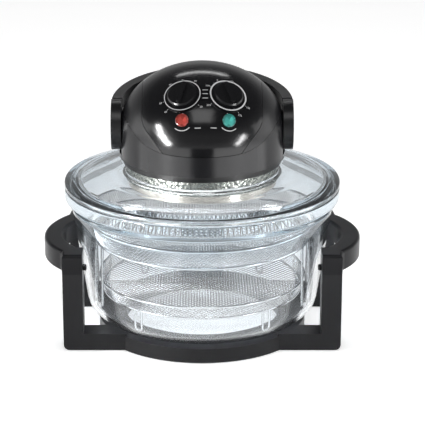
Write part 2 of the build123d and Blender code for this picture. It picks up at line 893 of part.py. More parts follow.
# ================================ control panel ==========================================
knob_planes = [dome_plane(x, y) for x, y in zip(knob_x, knob_y)]
lamp_planes = [dome_plane(x, y) for x, y in zip(lamp_x, lamp_y)]
knob_base = dial_rise + gap + 0.1
boss_depth = 5.0


def disc_on(plane, radius, low, high, bore=0.0):
    """Round piece square to a plane, from one height over it to another."""
    with BuildPart() as disc:
        with BuildSketch(plane.offset(low)):
            Circle(radius)
            if bore > 0:
                Circle(bore, mode=Mode.SUBTRACT)
        extrude(amount=high - low)
    return disc.part


with BuildPart() as control_panel:
    add(housing_solid(0))
    add(housing_void, mode=Mode.SUBTRACT)
    add(panel_zone, mode=Mode.INTERSECT)
    add(dome_zone, mode=Mode.SUBTRACT)
    for plane in knob_planes:
        add(disc_on(plane, shaft_r + gap, -2 * boss_depth, dial_rise), mode=Mode.SUBTRACT)
    for plane in lamp_planes:
        add(disc_on(plane, lamp_r + seat, -2 * boss_depth, lamp_r), mode=Mode.SUBTRACT)
save(control_panel, "control_panel")

for plane, name in zip(knob_planes, ("timer_dial", "thermostat_dial")):
    with BuildPart() as dial:
        add(disc_on(plane, dial_r, -boss_depth, dial_rise, shaft_r + gap))
        add(housing_solid(0), mode=Mode.SUBTRACT)
    save(dial, name)

for plane, name in zip(lamp_planes, ("power_lamp", "heating_lamp")):
    with BuildPart() as lamp:
        add(disc_on(plane, lamp_r, -shell, lamp_rise + 1))
        fillet(lamp.edges().sort_by(Axis(plane.origin, plane.z_dir))[-1], lamp_rise)
    save(lamp, name)

with BuildPart() as lamp_holders:
    for plane in lamp_planes:
        add(disc_on(plane, lamp_r - 1, -shell - 4 * lamp_rise - seat, -shell - seat))
save(lamp_holders, "lamp_holders")

for plane, name in zip(knob_planes, ("timer_unit", "thermostat_unit")):
    with BuildPart() as unit:
        add(disc_on(plane, unit_r, -unit_below - unit_depth, -unit_below))
        add(disc_on(plane, 2.5 * shaft_r, -unit_below, -shell - 2.5 * seat))
        add(disc_on(plane, shaft_r + run, -unit_below - unit_depth / 2, 0), mode=Mode.SUBTRACT)
    save(unit, name)

# ================================ knobs ==================================================
for plane, knob_name in zip(knob_planes, ("timer_knob", "thermostat_knob")):
    with BuildPart() as knob:
        add(disc_on(plane, knob_r, knob_base, knob_base + knob_height))
        top_rim = knob.edges().sort_by(Axis(plane.origin, plane.z_dir))[-1]
        chamfer(top_rim, knob_height / 3)
        with BuildSketch(plane.offset(knob_base)):
            SlotOverall(2 * (knob_r - knob_bar_end), knob_bar, rotation=90)
        extrude(amount=knob_height + knob_bar_height)
        add(disc_on(plane, shaft_r + grip_fit, 0, knob_base + knob_height), mode=Mode.SUBTRACT)
    save(knob, knob_name)

for plane, shaft_name in zip(knob_planes, ("timer_shaft", "thermostat_shaft")):
    with BuildPart() as spindle:
        add(
            disc_on(
                plane,
                shaft_r,
                -unit_below - unit_depth / 2 + gap,
                knob_base + knob_height - seat,
            )
        )
    save(spindle, shaft_name)

# ================================ handle and its switch ==================================
slope = math.tan(math.radians(arch_rise))

with BuildPart() as handle:
    with BuildSketch(Plane.XY.offset(arch_top_z - 2 * arch_thick)):
        with Locations((0, head_r)):
            Rectangle(3 * head_r, 2 * (head_r - arch_start_y))
        Circle(hub_out_x, mode=Mode.INTERSECT)
        Circle(hub_in_x, mode=Mode.SUBTRACT)
    extrude(amount=arch_rise * arch_thick)
    with BuildSketch(Plane.YZ.offset(-1.5 * head_r)):
        with BuildLine():
            Polyline(
                (0, arch_top_z - slope * arch_start_y),
                (1.5 * head_r, arch_top_z + slope * (1.5 * head_r - arch_start_y)),
                (1.5 * head_r, arch_top_z - arch_thick + slope * 1.3 * head_r),
                (0, arch_top_z - arch_thick - slope * arch_start_y),
                close=True,
            )
        make_face()
    extrude(amount=3 * head_r, mode=Mode.INTERSECT)
    for side in (-1, 1):
        with BuildSketch(Plane.YZ.offset(side * hub_in_x)):
            with Locations((0, hinge_z)):
                Circle(hub_r)
        extrude(amount=side * (hub_out_x - hub_in_x))
    with BuildSketch(Plane.YZ.offset(-hub_out_x + sheet)):
        with Locations((0, hinge_z)):
            Circle(pin_r + grip_fit)
    extrude(amount=2 * (hub_out_x - sheet), mode=Mode.SUBTRACT)
save(handle, "handle")

for side, name in ((-1, "pivot_pin_left"), (1, "pivot_pin_right")):
    with BuildPart() as pin:
        with BuildSketch(Plane.YZ.offset(side * (cam_x - cam_width / 2))):
            with Locations((0, hinge_z)):
                Circle(pin_r)
        extrude(amount=side * (hub_out_x - sheet - seat - cam_x + cam_width / 2))
        with BuildSketch(Plane.YZ.offset(side * (cam_x - cam_width / 2))):
            with Locations((0, hinge_z + cam_throw)):
                Circle(cam_r)
        extrude(amount=side * cam_width)
    save(pin, name)

with BuildPart() as safety_switch:
    with BuildSketch(Plane.XY.offset(switch_bottom)):
        with Locations((-cam_x, 0)):
            Rectangle(switch_width, 2 * switch_half_y)
        with Locations((-cam_x, 0)):
            Circle(plunger_r + run, mode=Mode.SUBTRACT)
    extrude(amount=switch_height)
save(safety_switch, "safety_switch")

with BuildPart() as switch_plunger:
    with BuildSketch(Plane.XY.offset(plunger_rest)):
        with Locations((-cam_x, 0)):
            Circle(plunger_r)
    extrude(amount=plunger_length)
save(switch_plunger, "switch_plunger")

# ================================ mains inlet ============================================
with BuildPart() as inlet_socket:
    with BuildSketch(Plane.XZ.offset(-inlet_face_y)):
        with Locations((0, inlet_bottom + inlet_height / 2)):
            Rectangle(2 * inlet_half_x, inlet_height)
    extrude(amount=inlet_depth - 1)
    with BuildSketch(Plane.XZ.offset(-inlet_face_y)):
        with Locations((0, inlet_bottom + inlet_height / 2)):
            Rectangle(2 * (inlet_half_x - inlet_wall), inlet_height - 2 * inlet_wall)
    extrude(amount=inlet_depth - 1 - inlet_wall, mode=Mode.SUBTRACT)
save(inlet_socket, "inlet_socket")

with BuildPart() as inlet_pins:
    with BuildSketch(Plane.XZ.offset(-inlet_face_y + inlet_depth - 1 - inlet_wall + 0)):
        with Locations((0, inlet_bottom + inlet_height / 2)):
            with GridLocations(inlet_half_x / 2 + 1, 0, 3, 1):
                Rectangle(2.0, 4.0)
    extrude(amount=-(inlet_depth - 6))
save(inlet_pins, "inlet_pins")

terminal_y = inlet_face_y - inlet_depth - terminal_back
with BuildPart() as terminal_block:
    with BuildSketch(Plane.XY.offset(chassis_top)):
        with Locations((0, terminal_y)):
            Rectangle(2 * inlet_half_x, 2 * terminal_half)
    extrude(amount=2 * terminal_half)
save(terminal_block, "terminal_block")

with BuildPart() as supply_wires:
    with BuildSketch(Plane.XZ.offset(-(terminal_y + terminal_half + seat))):
        with Locations((0, (chassis_top + inlet_bottom + 14.0) / 2)):
            with GridLocations(inlet_half_x / 2 + 1, 0, 3, 1):
                Circle(1.4)
    extrude(amount=-(inlet_face_y - inlet_depth + 1 - terminal_y - terminal_half - 2 * seat))
save(supply_wires, "supply_wires")
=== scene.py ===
"""Countertop halogen oven: finishes, glass, wire racks, dials and studio."""

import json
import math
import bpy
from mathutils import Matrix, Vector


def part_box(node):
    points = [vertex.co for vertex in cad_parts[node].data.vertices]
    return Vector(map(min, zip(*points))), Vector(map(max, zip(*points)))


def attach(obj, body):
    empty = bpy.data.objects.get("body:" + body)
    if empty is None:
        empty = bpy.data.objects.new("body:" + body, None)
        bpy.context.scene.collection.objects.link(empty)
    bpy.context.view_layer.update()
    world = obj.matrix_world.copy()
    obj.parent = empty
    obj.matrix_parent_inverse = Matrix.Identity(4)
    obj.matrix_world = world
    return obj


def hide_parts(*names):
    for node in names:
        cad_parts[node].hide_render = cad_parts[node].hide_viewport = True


bl_info = {
    "name": "Halogen Oven Finish",
    "version": (1, 0, 0),
    "blender": (4, 5, 0),
    "location": "3D View > Sidebar > Oven",
    "description": "Builds the glass, wire racks, knobs, dials and finishes of a halogen oven",
    "category": "Object",
}

import bmesh
import bpy
import numpy as np
from mathutils import Vector

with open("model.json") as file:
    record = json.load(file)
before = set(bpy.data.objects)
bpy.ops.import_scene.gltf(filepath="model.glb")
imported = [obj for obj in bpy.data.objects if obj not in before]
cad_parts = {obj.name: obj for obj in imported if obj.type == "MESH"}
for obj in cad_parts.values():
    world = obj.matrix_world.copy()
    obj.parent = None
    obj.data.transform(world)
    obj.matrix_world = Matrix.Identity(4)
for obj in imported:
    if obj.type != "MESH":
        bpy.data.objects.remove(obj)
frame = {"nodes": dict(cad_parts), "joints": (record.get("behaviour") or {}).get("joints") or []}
NODES = frame["nodes"]
JOINTS = {joint["name"]: joint for joint in frame["joints"]}
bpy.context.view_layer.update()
MM = 0.001


# ---- properties -------------------------------------------------------------


class OvenSizes(bpy.types.PropertyGroup):
    """Sizes of the pieces that are built here."""

    glass_wall: bpy.props.FloatProperty(
        name="Glass wall", description="Wall of the bowl and of the lid",
        default=5.0 * MM, unit="LENGTH",
    )
    bowl_corner: bpy.props.FloatProperty(
        name="Bowl corner", description="Outer radius between the bowl's floor and wall",
        default=35.0 * MM, unit="LENGTH",
    )
    bowl_draft: bpy.props.FloatProperty(
        name="Bowl draft", description="Lean of the bowl's wall",
        default=math.radians(8.0), unit="ROTATION",
    )
    wire_pitch: bpy.props.FloatProperty(
        name="Wire pitch", description="Spacing of the wires of the rack floors",
        default=4.8 * MM, unit="LENGTH",
    )
    wire_radius: bpy.props.FloatProperty(
        name="Wire radius", description="Radius of the fine wires of the racks",
        default=0.5 * MM, unit="LENGTH",
    )
    mark_line: bpy.props.FloatProperty(
        name="Mark line", description="Width of the printed lines",
        default=0.9 * MM, unit="LENGTH",
    )
    mark_text: bpy.props.FloatProperty(
        name="Figure height", description="Height of the printed figures",
        default=3.4 * MM, unit="LENGTH",
    )


class OvenColours(bpy.types.PropertyGroup):
    """Colours of the finishes."""

    black: bpy.props.FloatVectorProperty(
        name="Black plastic", description="Satin plastic of the stand and the head",
        subtype="COLOR", size=3, default=(0.010, 0.010, 0.0115),
    )
    gloss: bpy.props.FloatVectorProperty(
        name="Gloss black", description="Polished plastic of the dome and the panel",
        subtype="COLOR", size=3, default=(0.008, 0.008, 0.009),
    )
    glass: bpy.props.FloatVectorProperty(
        name="Glass", description="Tint of the glass",
        subtype="COLOR", size=3, default=(0.945, 0.962, 0.975),
    )
    rim: bpy.props.FloatVectorProperty(
        name="Glass rim", description="Tint of the thick glass at the collar",
        subtype="COLOR", size=3, default=(0.72, 0.80, 0.855),
    )
    steel: bpy.props.FloatVectorProperty(
        name="Bright steel", description="Polished steel of the pan and the bands",
        subtype="COLOR", size=3, default=(0.66, 0.60, 0.53),
    )
    wire: bpy.props.FloatVectorProperty(
        name="Wire", description="Chromed wire of the racks",
        subtype="COLOR", size=3, default=(0.80, 0.81, 0.82),
    )
    red: bpy.props.FloatVectorProperty(
        name="Red lens", description="Lens of the power lamp",
        subtype="COLOR", size=3, default=(0.50, 0.070, 0.055),
    )
    green: bpy.props.FloatVectorProperty(
        name="Green lens", description="Lens of the heating lamp",
        subtype="COLOR", size=3, default=(0.070, 0.42, 0.37),
    )
    mark: bpy.props.FloatVectorProperty(
        name="Print", description="White print of the dials",
        subtype="COLOR", size=3, default=(0.72, 0.72, 0.73),
    )
    floor: bpy.props.FloatVectorProperty(
        name="Floor", description="Studio floor",
        subtype="COLOR", size=3, default=(0.86, 0.86, 0.86),
    )


# ---- meshes -----------------------------------------------------------------


def mesh_piece(name, verts, faces, material, body, smooth=None):
    """Mesh object from arrays: doubles merged, normals turned outwards, riding on a body.
    smooth is the angle in degrees up to which faces shade as one surface."""
    mesh = bpy.data.meshes.new(name)
    mesh.from_pydata(verts.tolist(), [], faces)
    work = bmesh.new()
    work.from_mesh(mesh)
    bmesh.ops.remove_doubles(work, verts=work.verts, dist=1e-7)
    bmesh.ops.dissolve_degenerate(work, edges=work.edges, dist=1e-8)
    bmesh.ops.recalc_face_normals(work, faces=work.faces)
    work.to_mesh(mesh)
    work.free()
    mesh.polygons.foreach_set("use_smooth", [smooth is not None] * len(mesh.polygons))
    if smooth is not None:
        mesh.set_sharp_from_angle(angle=math.radians(smooth))
    mesh.materials.append(material)
    piece = bpy.data.objects.new(name, mesh)
    bpy.context.scene.collection.objects.link(piece)
    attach(piece, body)
    return piece


def grid_faces(rows, columns, wrap_rows, wrap_columns, start=0):
    """Quads of a grid of points, row by row, closed along either way that wraps."""
    i = np.arange(rows if wrap_rows else rows - 1)[:, None]
    j = np.arange(columns if wrap_columns else columns - 1)[None, :]
    ni = (i + 1) % rows
    nj = (j + 1) % columns
    quads = np.stack(
        [i * columns + j, i * columns + nj, ni * columns + nj, ni * columns + j], axis=-1
    )
    return (quads.reshape(-1, 4) + start).tolist()


def revolve(profile, steps=192):
    """Surface of revolution of a closed profile of (r, z): the point at angle t is
    (r cos t, r sin t, z)."""
    points = np.asarray(profile, float)
    t = np.linspace(0, 2 * np.pi, steps, endpoint=False)
    radius = points[:, 0:1]
    verts = np.stack(
        [
            radius * np.cos(t),
            radius * np.sin(t),
            np.broadcast_to(points[:, 1:2], (len(points), steps)),
        ],
        axis=-1,
    )
    return verts.reshape(-1, 3), grid_faces(len(points), steps, True, True)


def rounded(corners, steps=6):
    """Closed profile through corners (r, z, radius): each corner with a radius is an arc
    that touches both of its sides."""
    flat = np.array([corner[:2] for corner in corners], float)
    out = []
    for k, (r, z, radius) in enumerate(corners):
        here = flat[k]
        before = flat[k - 1] - here
        after = flat[(k + 1) % len(corners)] - here
        if radius <= 0:
            out.append(here[None])
            continue
        before_len = np.linalg.norm(before)
        after_len = np.linalg.norm(after)
        before = before / before_len
        after = after / after_len
        half = math.acos(np.clip(before @ after, -1, 1)) / 2
        reach = min(radius / math.tan(half), before_len * 0.49, after_len * 0.49)
        centre = here + (before + after) / np.linalg.norm(before + after) * (
            reach / math.cos(half)
        )
        first = here + before * reach - centre
        last = here + after * reach - centre
        turn = math.atan2(
            first[0] * last[1] - first[1] * last[0], float(first @ last)
        )
        a = np.linspace(0, turn, steps + 1)[:, None]
        side = np.array([-first[1], first[0]])
        out.append(centre + np.cos(a) * first + np.sin(a) * side)
    return np.concatenate(out)


def tube(path, radius, across, sides=12, closed=False):
    """Round bar along a path: each circle lies across the path's tangent, turned so that
    one axis stays square to a fixed direction. Open ends are capped."""
    path = np.asarray(path, float)
    if closed:
        tangent = np.roll(path, -1, 0) - np.roll(path, 1, 0)
    else:
        tangent = np.gradient(path, axis=0)
    tangent /= np.linalg.norm(tangent, axis=1, keepdims=True)
    first = np.cross(across, tangent)
    first /= np.linalg.norm(first, axis=1, keepdims=True)
    second = np.cross(tangent, first)
    t = np.linspace(0, 2 * np.pi, sides, endpoint=False)
    circle = (
        first[:, None] * np.cos(t)[None, :, None]
        + second[:, None] * np.sin(t)[None, :, None]
    )
    verts = (path[:, None] + radius * circle).reshape(-1, 3)
    faces = grid_faces(len(path), sides, closed, True)
    if not closed:
        faces.append(list(range(sides))[::-1])
        faces.append(list(range(len(verts) - sides, len(verts))))
    return verts, faces


def wires(starts, ends, radius, sides=5):
    """Many straight capped bars at once, from each start to each end."""
    run = ends - starts
    run /= np.linalg.norm(run, axis=1, keepdims=True)
    helper = np.where(np.abs(run[:, 2:3]) > 0.9, [[1.0, 0, 0]], [[0, 0, 1.0]])
    first = np.cross(helper, run)
    first /= np.linalg.norm(first, axis=1, keepdims=True)
    second = np.cross(run, first)
    t = np.linspace(0, 2 * np.pi, sides, endpoint=False)[None, :, None]
    circle = radius * (first[:, None] * np.cos(t) + second[:, None] * np.sin(t))
    verts = np.stack([starts[:, None] + circle, ends[:, None] + circle], axis=1)
    count = len(starts)
    base = (np.arange(count) * 2 * sides)[:, None]
    j = np.arange(sides)[None, :]
    nj = (j + 1) % sides
    quads = np.stack([base + j, base + nj, base + sides + nj, base + sides + j], axis=-1)
    faces = quads.reshape(-1, 4).tolist()
    faces += (base + j[:, ::-1]).tolist()
    faces += (base + sides + j).tolist()
    return verts.reshape(-1, 3), faces


def joined(*surfaces):
    """Several (verts, faces) pairs as one."""
    verts = []
    faces = []
    start = 0
    for points, polygons in surfaces:
        verts.append(points)
        faces += [[index + start for index in polygon] for polygon in polygons]
        start += len(points)
    return np.concatenate(verts), faces


# ---- finishes ---------------------------------------------------------------


def node_group(name, inputs, outputs):
    """Empty shader node group with named float or colour sockets."""
    group = bpy.data.node_groups.new(name, "ShaderNodeTree")
    for socket, default in inputs.items():
        made = group.interface.new_socket(
            socket, in_out="INPUT", socket_type="NodeSocketFloat"
        )
        made.default_value = default
    for socket, kind in outputs.items():
        group.interface.new_socket(socket, in_out="OUTPUT", socket_type=kind)
    return group, group.nodes.new("NodeGroupInput"), group.nodes.new("NodeGroupOutput")


def moulded_group():
    """Moulded plastic: fine grain for a bump, and roughness that drifts a little."""
    group, inside, out = node_group(
        "Moulded surface",
        {"Grain scale": 2500.0, "Grain": 0.5, "Roughness": 0.35, "Drift": 0.06},
        {"Roughness": "NodeSocketFloat", "Normal": "NodeSocketVector"},
    )
    nodes = group.nodes
    link = group.links.new
    place = nodes.new("ShaderNodeTexCoord")
    grain = nodes.new("ShaderNodeTexNoise")
    grain.inputs["Detail"].default_value = 3
    link(place.outputs["Object"], grain.inputs["Vector"])
    link(inside.outputs["Grain scale"], grain.inputs["Scale"])
    bump = nodes.new("ShaderNodeBump")
    bump.inputs["Distance"].default_value = 0.04 * MM
    link(inside.outputs["Grain"], bump.inputs["Strength"])
    link(grain.outputs["Fac"], bump.inputs["Height"])
    cloud = nodes.new("ShaderNodeTexNoise")
    cloud.inputs["Scale"].default_value = 45
    cloud.inputs["Detail"].default_value = 4
    link(place.outputs["Object"], cloud.inputs["Vector"])
    spread = nodes.new("ShaderNodeMath")
    spread.operation = "MULTIPLY_ADD"
    link(cloud.outputs["Fac"], spread.inputs[0])
    link(inside.outputs["Drift"], spread.inputs[1])
    link(inside.outputs["Roughness"], spread.inputs[2])
    link(spread.outputs["Value"], out.inputs["Roughness"])
    link(bump.outputs["Normal"], out.inputs["Normal"])
    return group


def brushed_group():
    """Spun or drawn metal: fine lines across one axis, for roughness and a slight bump."""
    group, inside, out = node_group(
        "Drawn metal",
        {"Line scale": 900.0, "Strength": 0.3, "Roughness": 0.2},
        {"Roughness": "NodeSocketFloat", "Normal": "NodeSocketVector"},
    )
    nodes = group.nodes
    link = group.links.new
    place = nodes.new("ShaderNodeTexCoord")
    stretch = nodes.new("ShaderNodeMapping")
    stretch.inputs["Scale"].default_value = (0.03, 0.03, 1.0)
    lines = nodes.new("ShaderNodeTexNoise")
    lines.inputs["Detail"].default_value = 4
    link(place.outputs["Object"], stretch.inputs["Vector"])
    link(stretch.outputs["Vector"], lines.inputs["Vector"])
    link(inside.outputs["Line scale"], lines.inputs["Scale"])
    bump = nodes.new("ShaderNodeBump")
    bump.inputs["Distance"].default_value = 0.05 * MM
    link(inside.outputs["Strength"], bump.inputs["Strength"])
    link(lines.outputs["Fac"], bump.inputs["Height"])
    spread = nodes.new("ShaderNodeMath")
    spread.operation = "MULTIPLY_ADD"
    spread.inputs[1].default_value = 0.15
    link(lines.outputs["Fac"], spread.inputs[0])
    link(inside.outputs["Roughness"], spread.inputs[2])
    link(spread.outputs["Value"], out.inputs["Roughness"])
    link(bump.outputs["Normal"], out.inputs["Normal"])
    return group


def hammered_group():
    """Crimped sheet: cells and creases deep enough to break up what it mirrors."""
    group, inside, out = node_group(
        "Crimped sheet",
        {"Cell scale": 260.0, "Depth": 0.7, "Roughness": 0.15},
        {"Roughness": "NodeSocketFloat", "Normal": "NodeSocketVector"},
    )
    nodes = group.nodes
    link = group.links.new
    place = nodes.new("ShaderNodeTexCoord")
    cells = nodes.new("ShaderNodeTexVoronoi")
    link(place.outputs["Object"], cells.inputs["Vector"])
    link(inside.outputs["Cell scale"], cells.inputs["Scale"])
    bump = nodes.new("ShaderNodeBump")
    bump.inputs["Distance"].default_value = 1.2 * MM
    link(inside.outputs["Depth"], bump.inputs["Strength"])
    link(cells.outputs["Distance"], bump.inputs["Height"])
    spread = nodes.new("ShaderNodeMath")
    spread.operation = "MULTIPLY_ADD"
    spread.inputs[1].default_value = 0.2
    link(cells.outputs["Distance"], spread.inputs[0])
    link(inside.outputs["Roughness"], spread.inputs[2])
    link(spread.outputs["Value"], out.inputs["Roughness"])
    link(bump.outputs["Normal"], out.inputs["Normal"])
    return group


def cast_group():
    """Painted light on a lens that faces the front: facets of uneven brightness round a middle
    are painted highlights, and the darkening toward the rim is painted shade."""
    group, inside, out = node_group(
        "Lens painted light",
        {
            "Middle X": 0.0, "Middle Z": 0.0, "Radius": 8 * MM, "Facets": 2.2,
            "Contrast": 1.1, "Rim shade": 0.35,
        },
        {"Painted light": "NodeSocketFloat"},
    )
    nodes = group.nodes
    link = group.links.new
    place = nodes.new("ShaderNodeTexCoord")
    middle = nodes.new("ShaderNodeCombineXYZ")
    link(inside.outputs["Middle X"], middle.inputs["X"])
    link(inside.outputs["Middle Z"], middle.inputs["Z"])
    aside = nodes.new("ShaderNodeVectorMath")
    aside.operation = "SUBTRACT"
    link(place.outputs["Object"], aside.inputs[0])
    link(middle.outputs["Vector"], aside.inputs[1])
    apart = nodes.new("ShaderNodeSeparateXYZ")
    link(aside.outputs["Vector"], apart.inputs["Vector"])
    flat = nodes.new("ShaderNodeCombineXYZ")
    for axis, target in (("X", "X"), ("Z", "Y")):
        share = nodes.new("ShaderNodeMath")
        share.operation = "DIVIDE"
        link(apart.outputs[axis], share.inputs[0])
        link(inside.outputs["Radius"], share.inputs[1])
        link(share.outputs["Value"], flat.inputs[target])
    cells = nodes.new("ShaderNodeTexVoronoi")
    cells.voronoi_dimensions = "2D"
    link(flat.outputs["Vector"], cells.inputs["Vector"])
    link(inside.outputs["Facets"], cells.inputs["Scale"])
    tone = nodes.new("ShaderNodeSeparateColor")
    link(cells.outputs["Color"], tone.inputs["Color"])
    reach = nodes.new("ShaderNodeVectorMath")
    reach.operation = "LENGTH"
    link(flat.outputs["Vector"], reach.inputs[0])
    # Painted shade: the lens darkens from mid-radius toward the rim.
    rim = nodes.new("ShaderNodeMapRange")
    rim.inputs["From Min"].default_value = 0.55
    rim.inputs["From Max"].default_value = 1.0
    rim.inputs["To Min"].default_value = 1.0
    link(reach.outputs["Value"], rim.inputs["Value"])
    link(inside.outputs["Rim shade"], rim.inputs["To Max"])
    # Painted highlights: each facet is brightened or dimmed by its random tone.
    spread = nodes.new("ShaderNodeMath")
    spread.operation = "MULTIPLY_ADD"
    spread.inputs[2].default_value = 0.5
    link(tone.outputs["Red"], spread.inputs[0])
    link(inside.outputs["Contrast"], spread.inputs[1])
    bright = nodes.new("ShaderNodeMath")
    bright.operation = "MULTIPLY"
    link(spread.outputs["Value"], bright.inputs[0])
    link(rim.outputs["Result"], bright.inputs[1])
    link(bright.outputs["Value"], out.inputs["Painted light"])
    return group


def principled(name, colour, metallic=0.0, roughness=0.4):
    """New material with a Principled shader; returns (material, shader)."""
    material = bpy.data.materials.new(name)
    material.use_nodes = True
    shader = material.node_tree.nodes["Principled BSDF"]
    shader.inputs["Base Color"].default_value = (*colour, 1)
    shader.inputs["Metallic"].default_value = metallic
    shader.inputs["Roughness"].default_value = roughness
    material.diffuse_color = (*colour, 1)
    return material, shader


def with_group(material, shader, group, values):
    """Places a surface group in a material and feeds the shader from it."""
    tree = material.node_tree
    surface = tree.nodes.new("ShaderNodeGroup")
    surface.node_tree = group
    for socket, value in values.items():
        surface.inputs[socket].default_value = value
    tree.links.new(surface.outputs["Roughness"], shader.inputs["Roughness"])
    tree.links.new(surface.outputs["Normal"], shader.inputs["Normal"])
    return material


def plastic(name, colour, roughness, grain, grain_scale=2500.0, drift=0.06, shine=0.28):
    """Moulded plastic of a colour."""
    material, shader = principled(name, colour)
    shader.inputs["Specular IOR Level"].default_value = shine
    values = {
        "Grain scale": grain_scale, "Grain": grain, "Roughness": roughness, "Drift": drift,
    }
    return with_group(material, shader, GROUPS["moulded"], values)


def metal(name, colour, roughness, lines, line_scale=900.0):
    """Drawn or polished metal of a colour."""
    material, shader = principled(name, colour, metallic=1.0)
    values = {"Line scale": line_scale, "Strength": lines, "Roughness": roughness}
    return with_group(material, shader, GROUPS["drawn"], values)


def glass(name, colour, roughness, wave, rim_colour=None):
    """Clear glass that lets the lamps through, with a faint pressed unevenness. Further out
    than the wall it takes the colour of the thick rim."""
    material, shader = principled(name, colour, roughness=roughness)
    shader.inputs["Transmission Weight"].default_value = 0.994
    shader.inputs["IOR"].default_value = 1.5
    tree = material.node_tree
    place = tree.nodes.new("ShaderNodeTexCoord")
    uneven = tree.nodes.new("ShaderNodeTexNoise")
    uneven.inputs["Scale"].default_value = 22
    uneven.inputs["Detail"].default_value = 1
    bump = tree.nodes.new("ShaderNodeBump")
    bump.inputs["Strength"].default_value = wave
    bump.inputs["Distance"].default_value = 1.0 * MM
    tree.links.new(place.outputs["Object"], uneven.inputs["Vector"])
    tree.links.new(uneven.outputs["Fac"], bump.inputs["Height"])
    tree.links.new(bump.outputs["Normal"], shader.inputs["Normal"])
    level = tree.nodes.new("ShaderNodeVectorMath")
    level.operation = "MULTIPLY"
    level.inputs[1].default_value = (1, 1, 0)
    reach = tree.nodes.new("ShaderNodeVectorMath")
    reach.operation = "LENGTH"
    rim = tree.nodes.new("ShaderNodeMapRange")
    rim.inputs["From Min"].default_value = RIM_FROM
    rim.inputs["From Max"].default_value = RIM_TO
    tint = tree.nodes.new("ShaderNodeMix")
    tint.data_type = "RGBA"
    tint.inputs["A"].default_value = (*colour, 1)
    tint.inputs["B"].default_value = (*(rim_colour or colour), 1)
    tree.links.new(place.outputs["Object"], level.inputs[0])
    tree.links.new(level.outputs["Vector"], reach.inputs[0])
    tree.links.new(reach.outputs["Value"], rim.inputs["Value"])
    tree.links.new(rim.outputs["Result"], tint.inputs["Factor"])
    tree.links.new(tint.outputs["Result"], shader.inputs["Base Color"])
    clear = tree.nodes.new("ShaderNodeBsdfTransparent")
    clear.inputs["Color"].default_value = (*colour, 1)
    path = tree.nodes.new("ShaderNodeLightPath")
    mix = tree.nodes.new("ShaderNodeMixShader")
    output = tree.nodes["Material Output"]
    tree.links.new(path.outputs["Is Shadow Ray"], mix.inputs["Fac"])
    tree.links.new(shader.outputs["BSDF"], mix.inputs[1])
    tree.links.new(clear.outputs["BSDF"], mix.inputs[2])
    tree.links.new(mix.outputs["Shader"], output.inputs["Surface"])
    return material


GROUPS = {}
FINISH = {}
RIM_FROM = 153 * MM
RIM_TO = 160 * MM


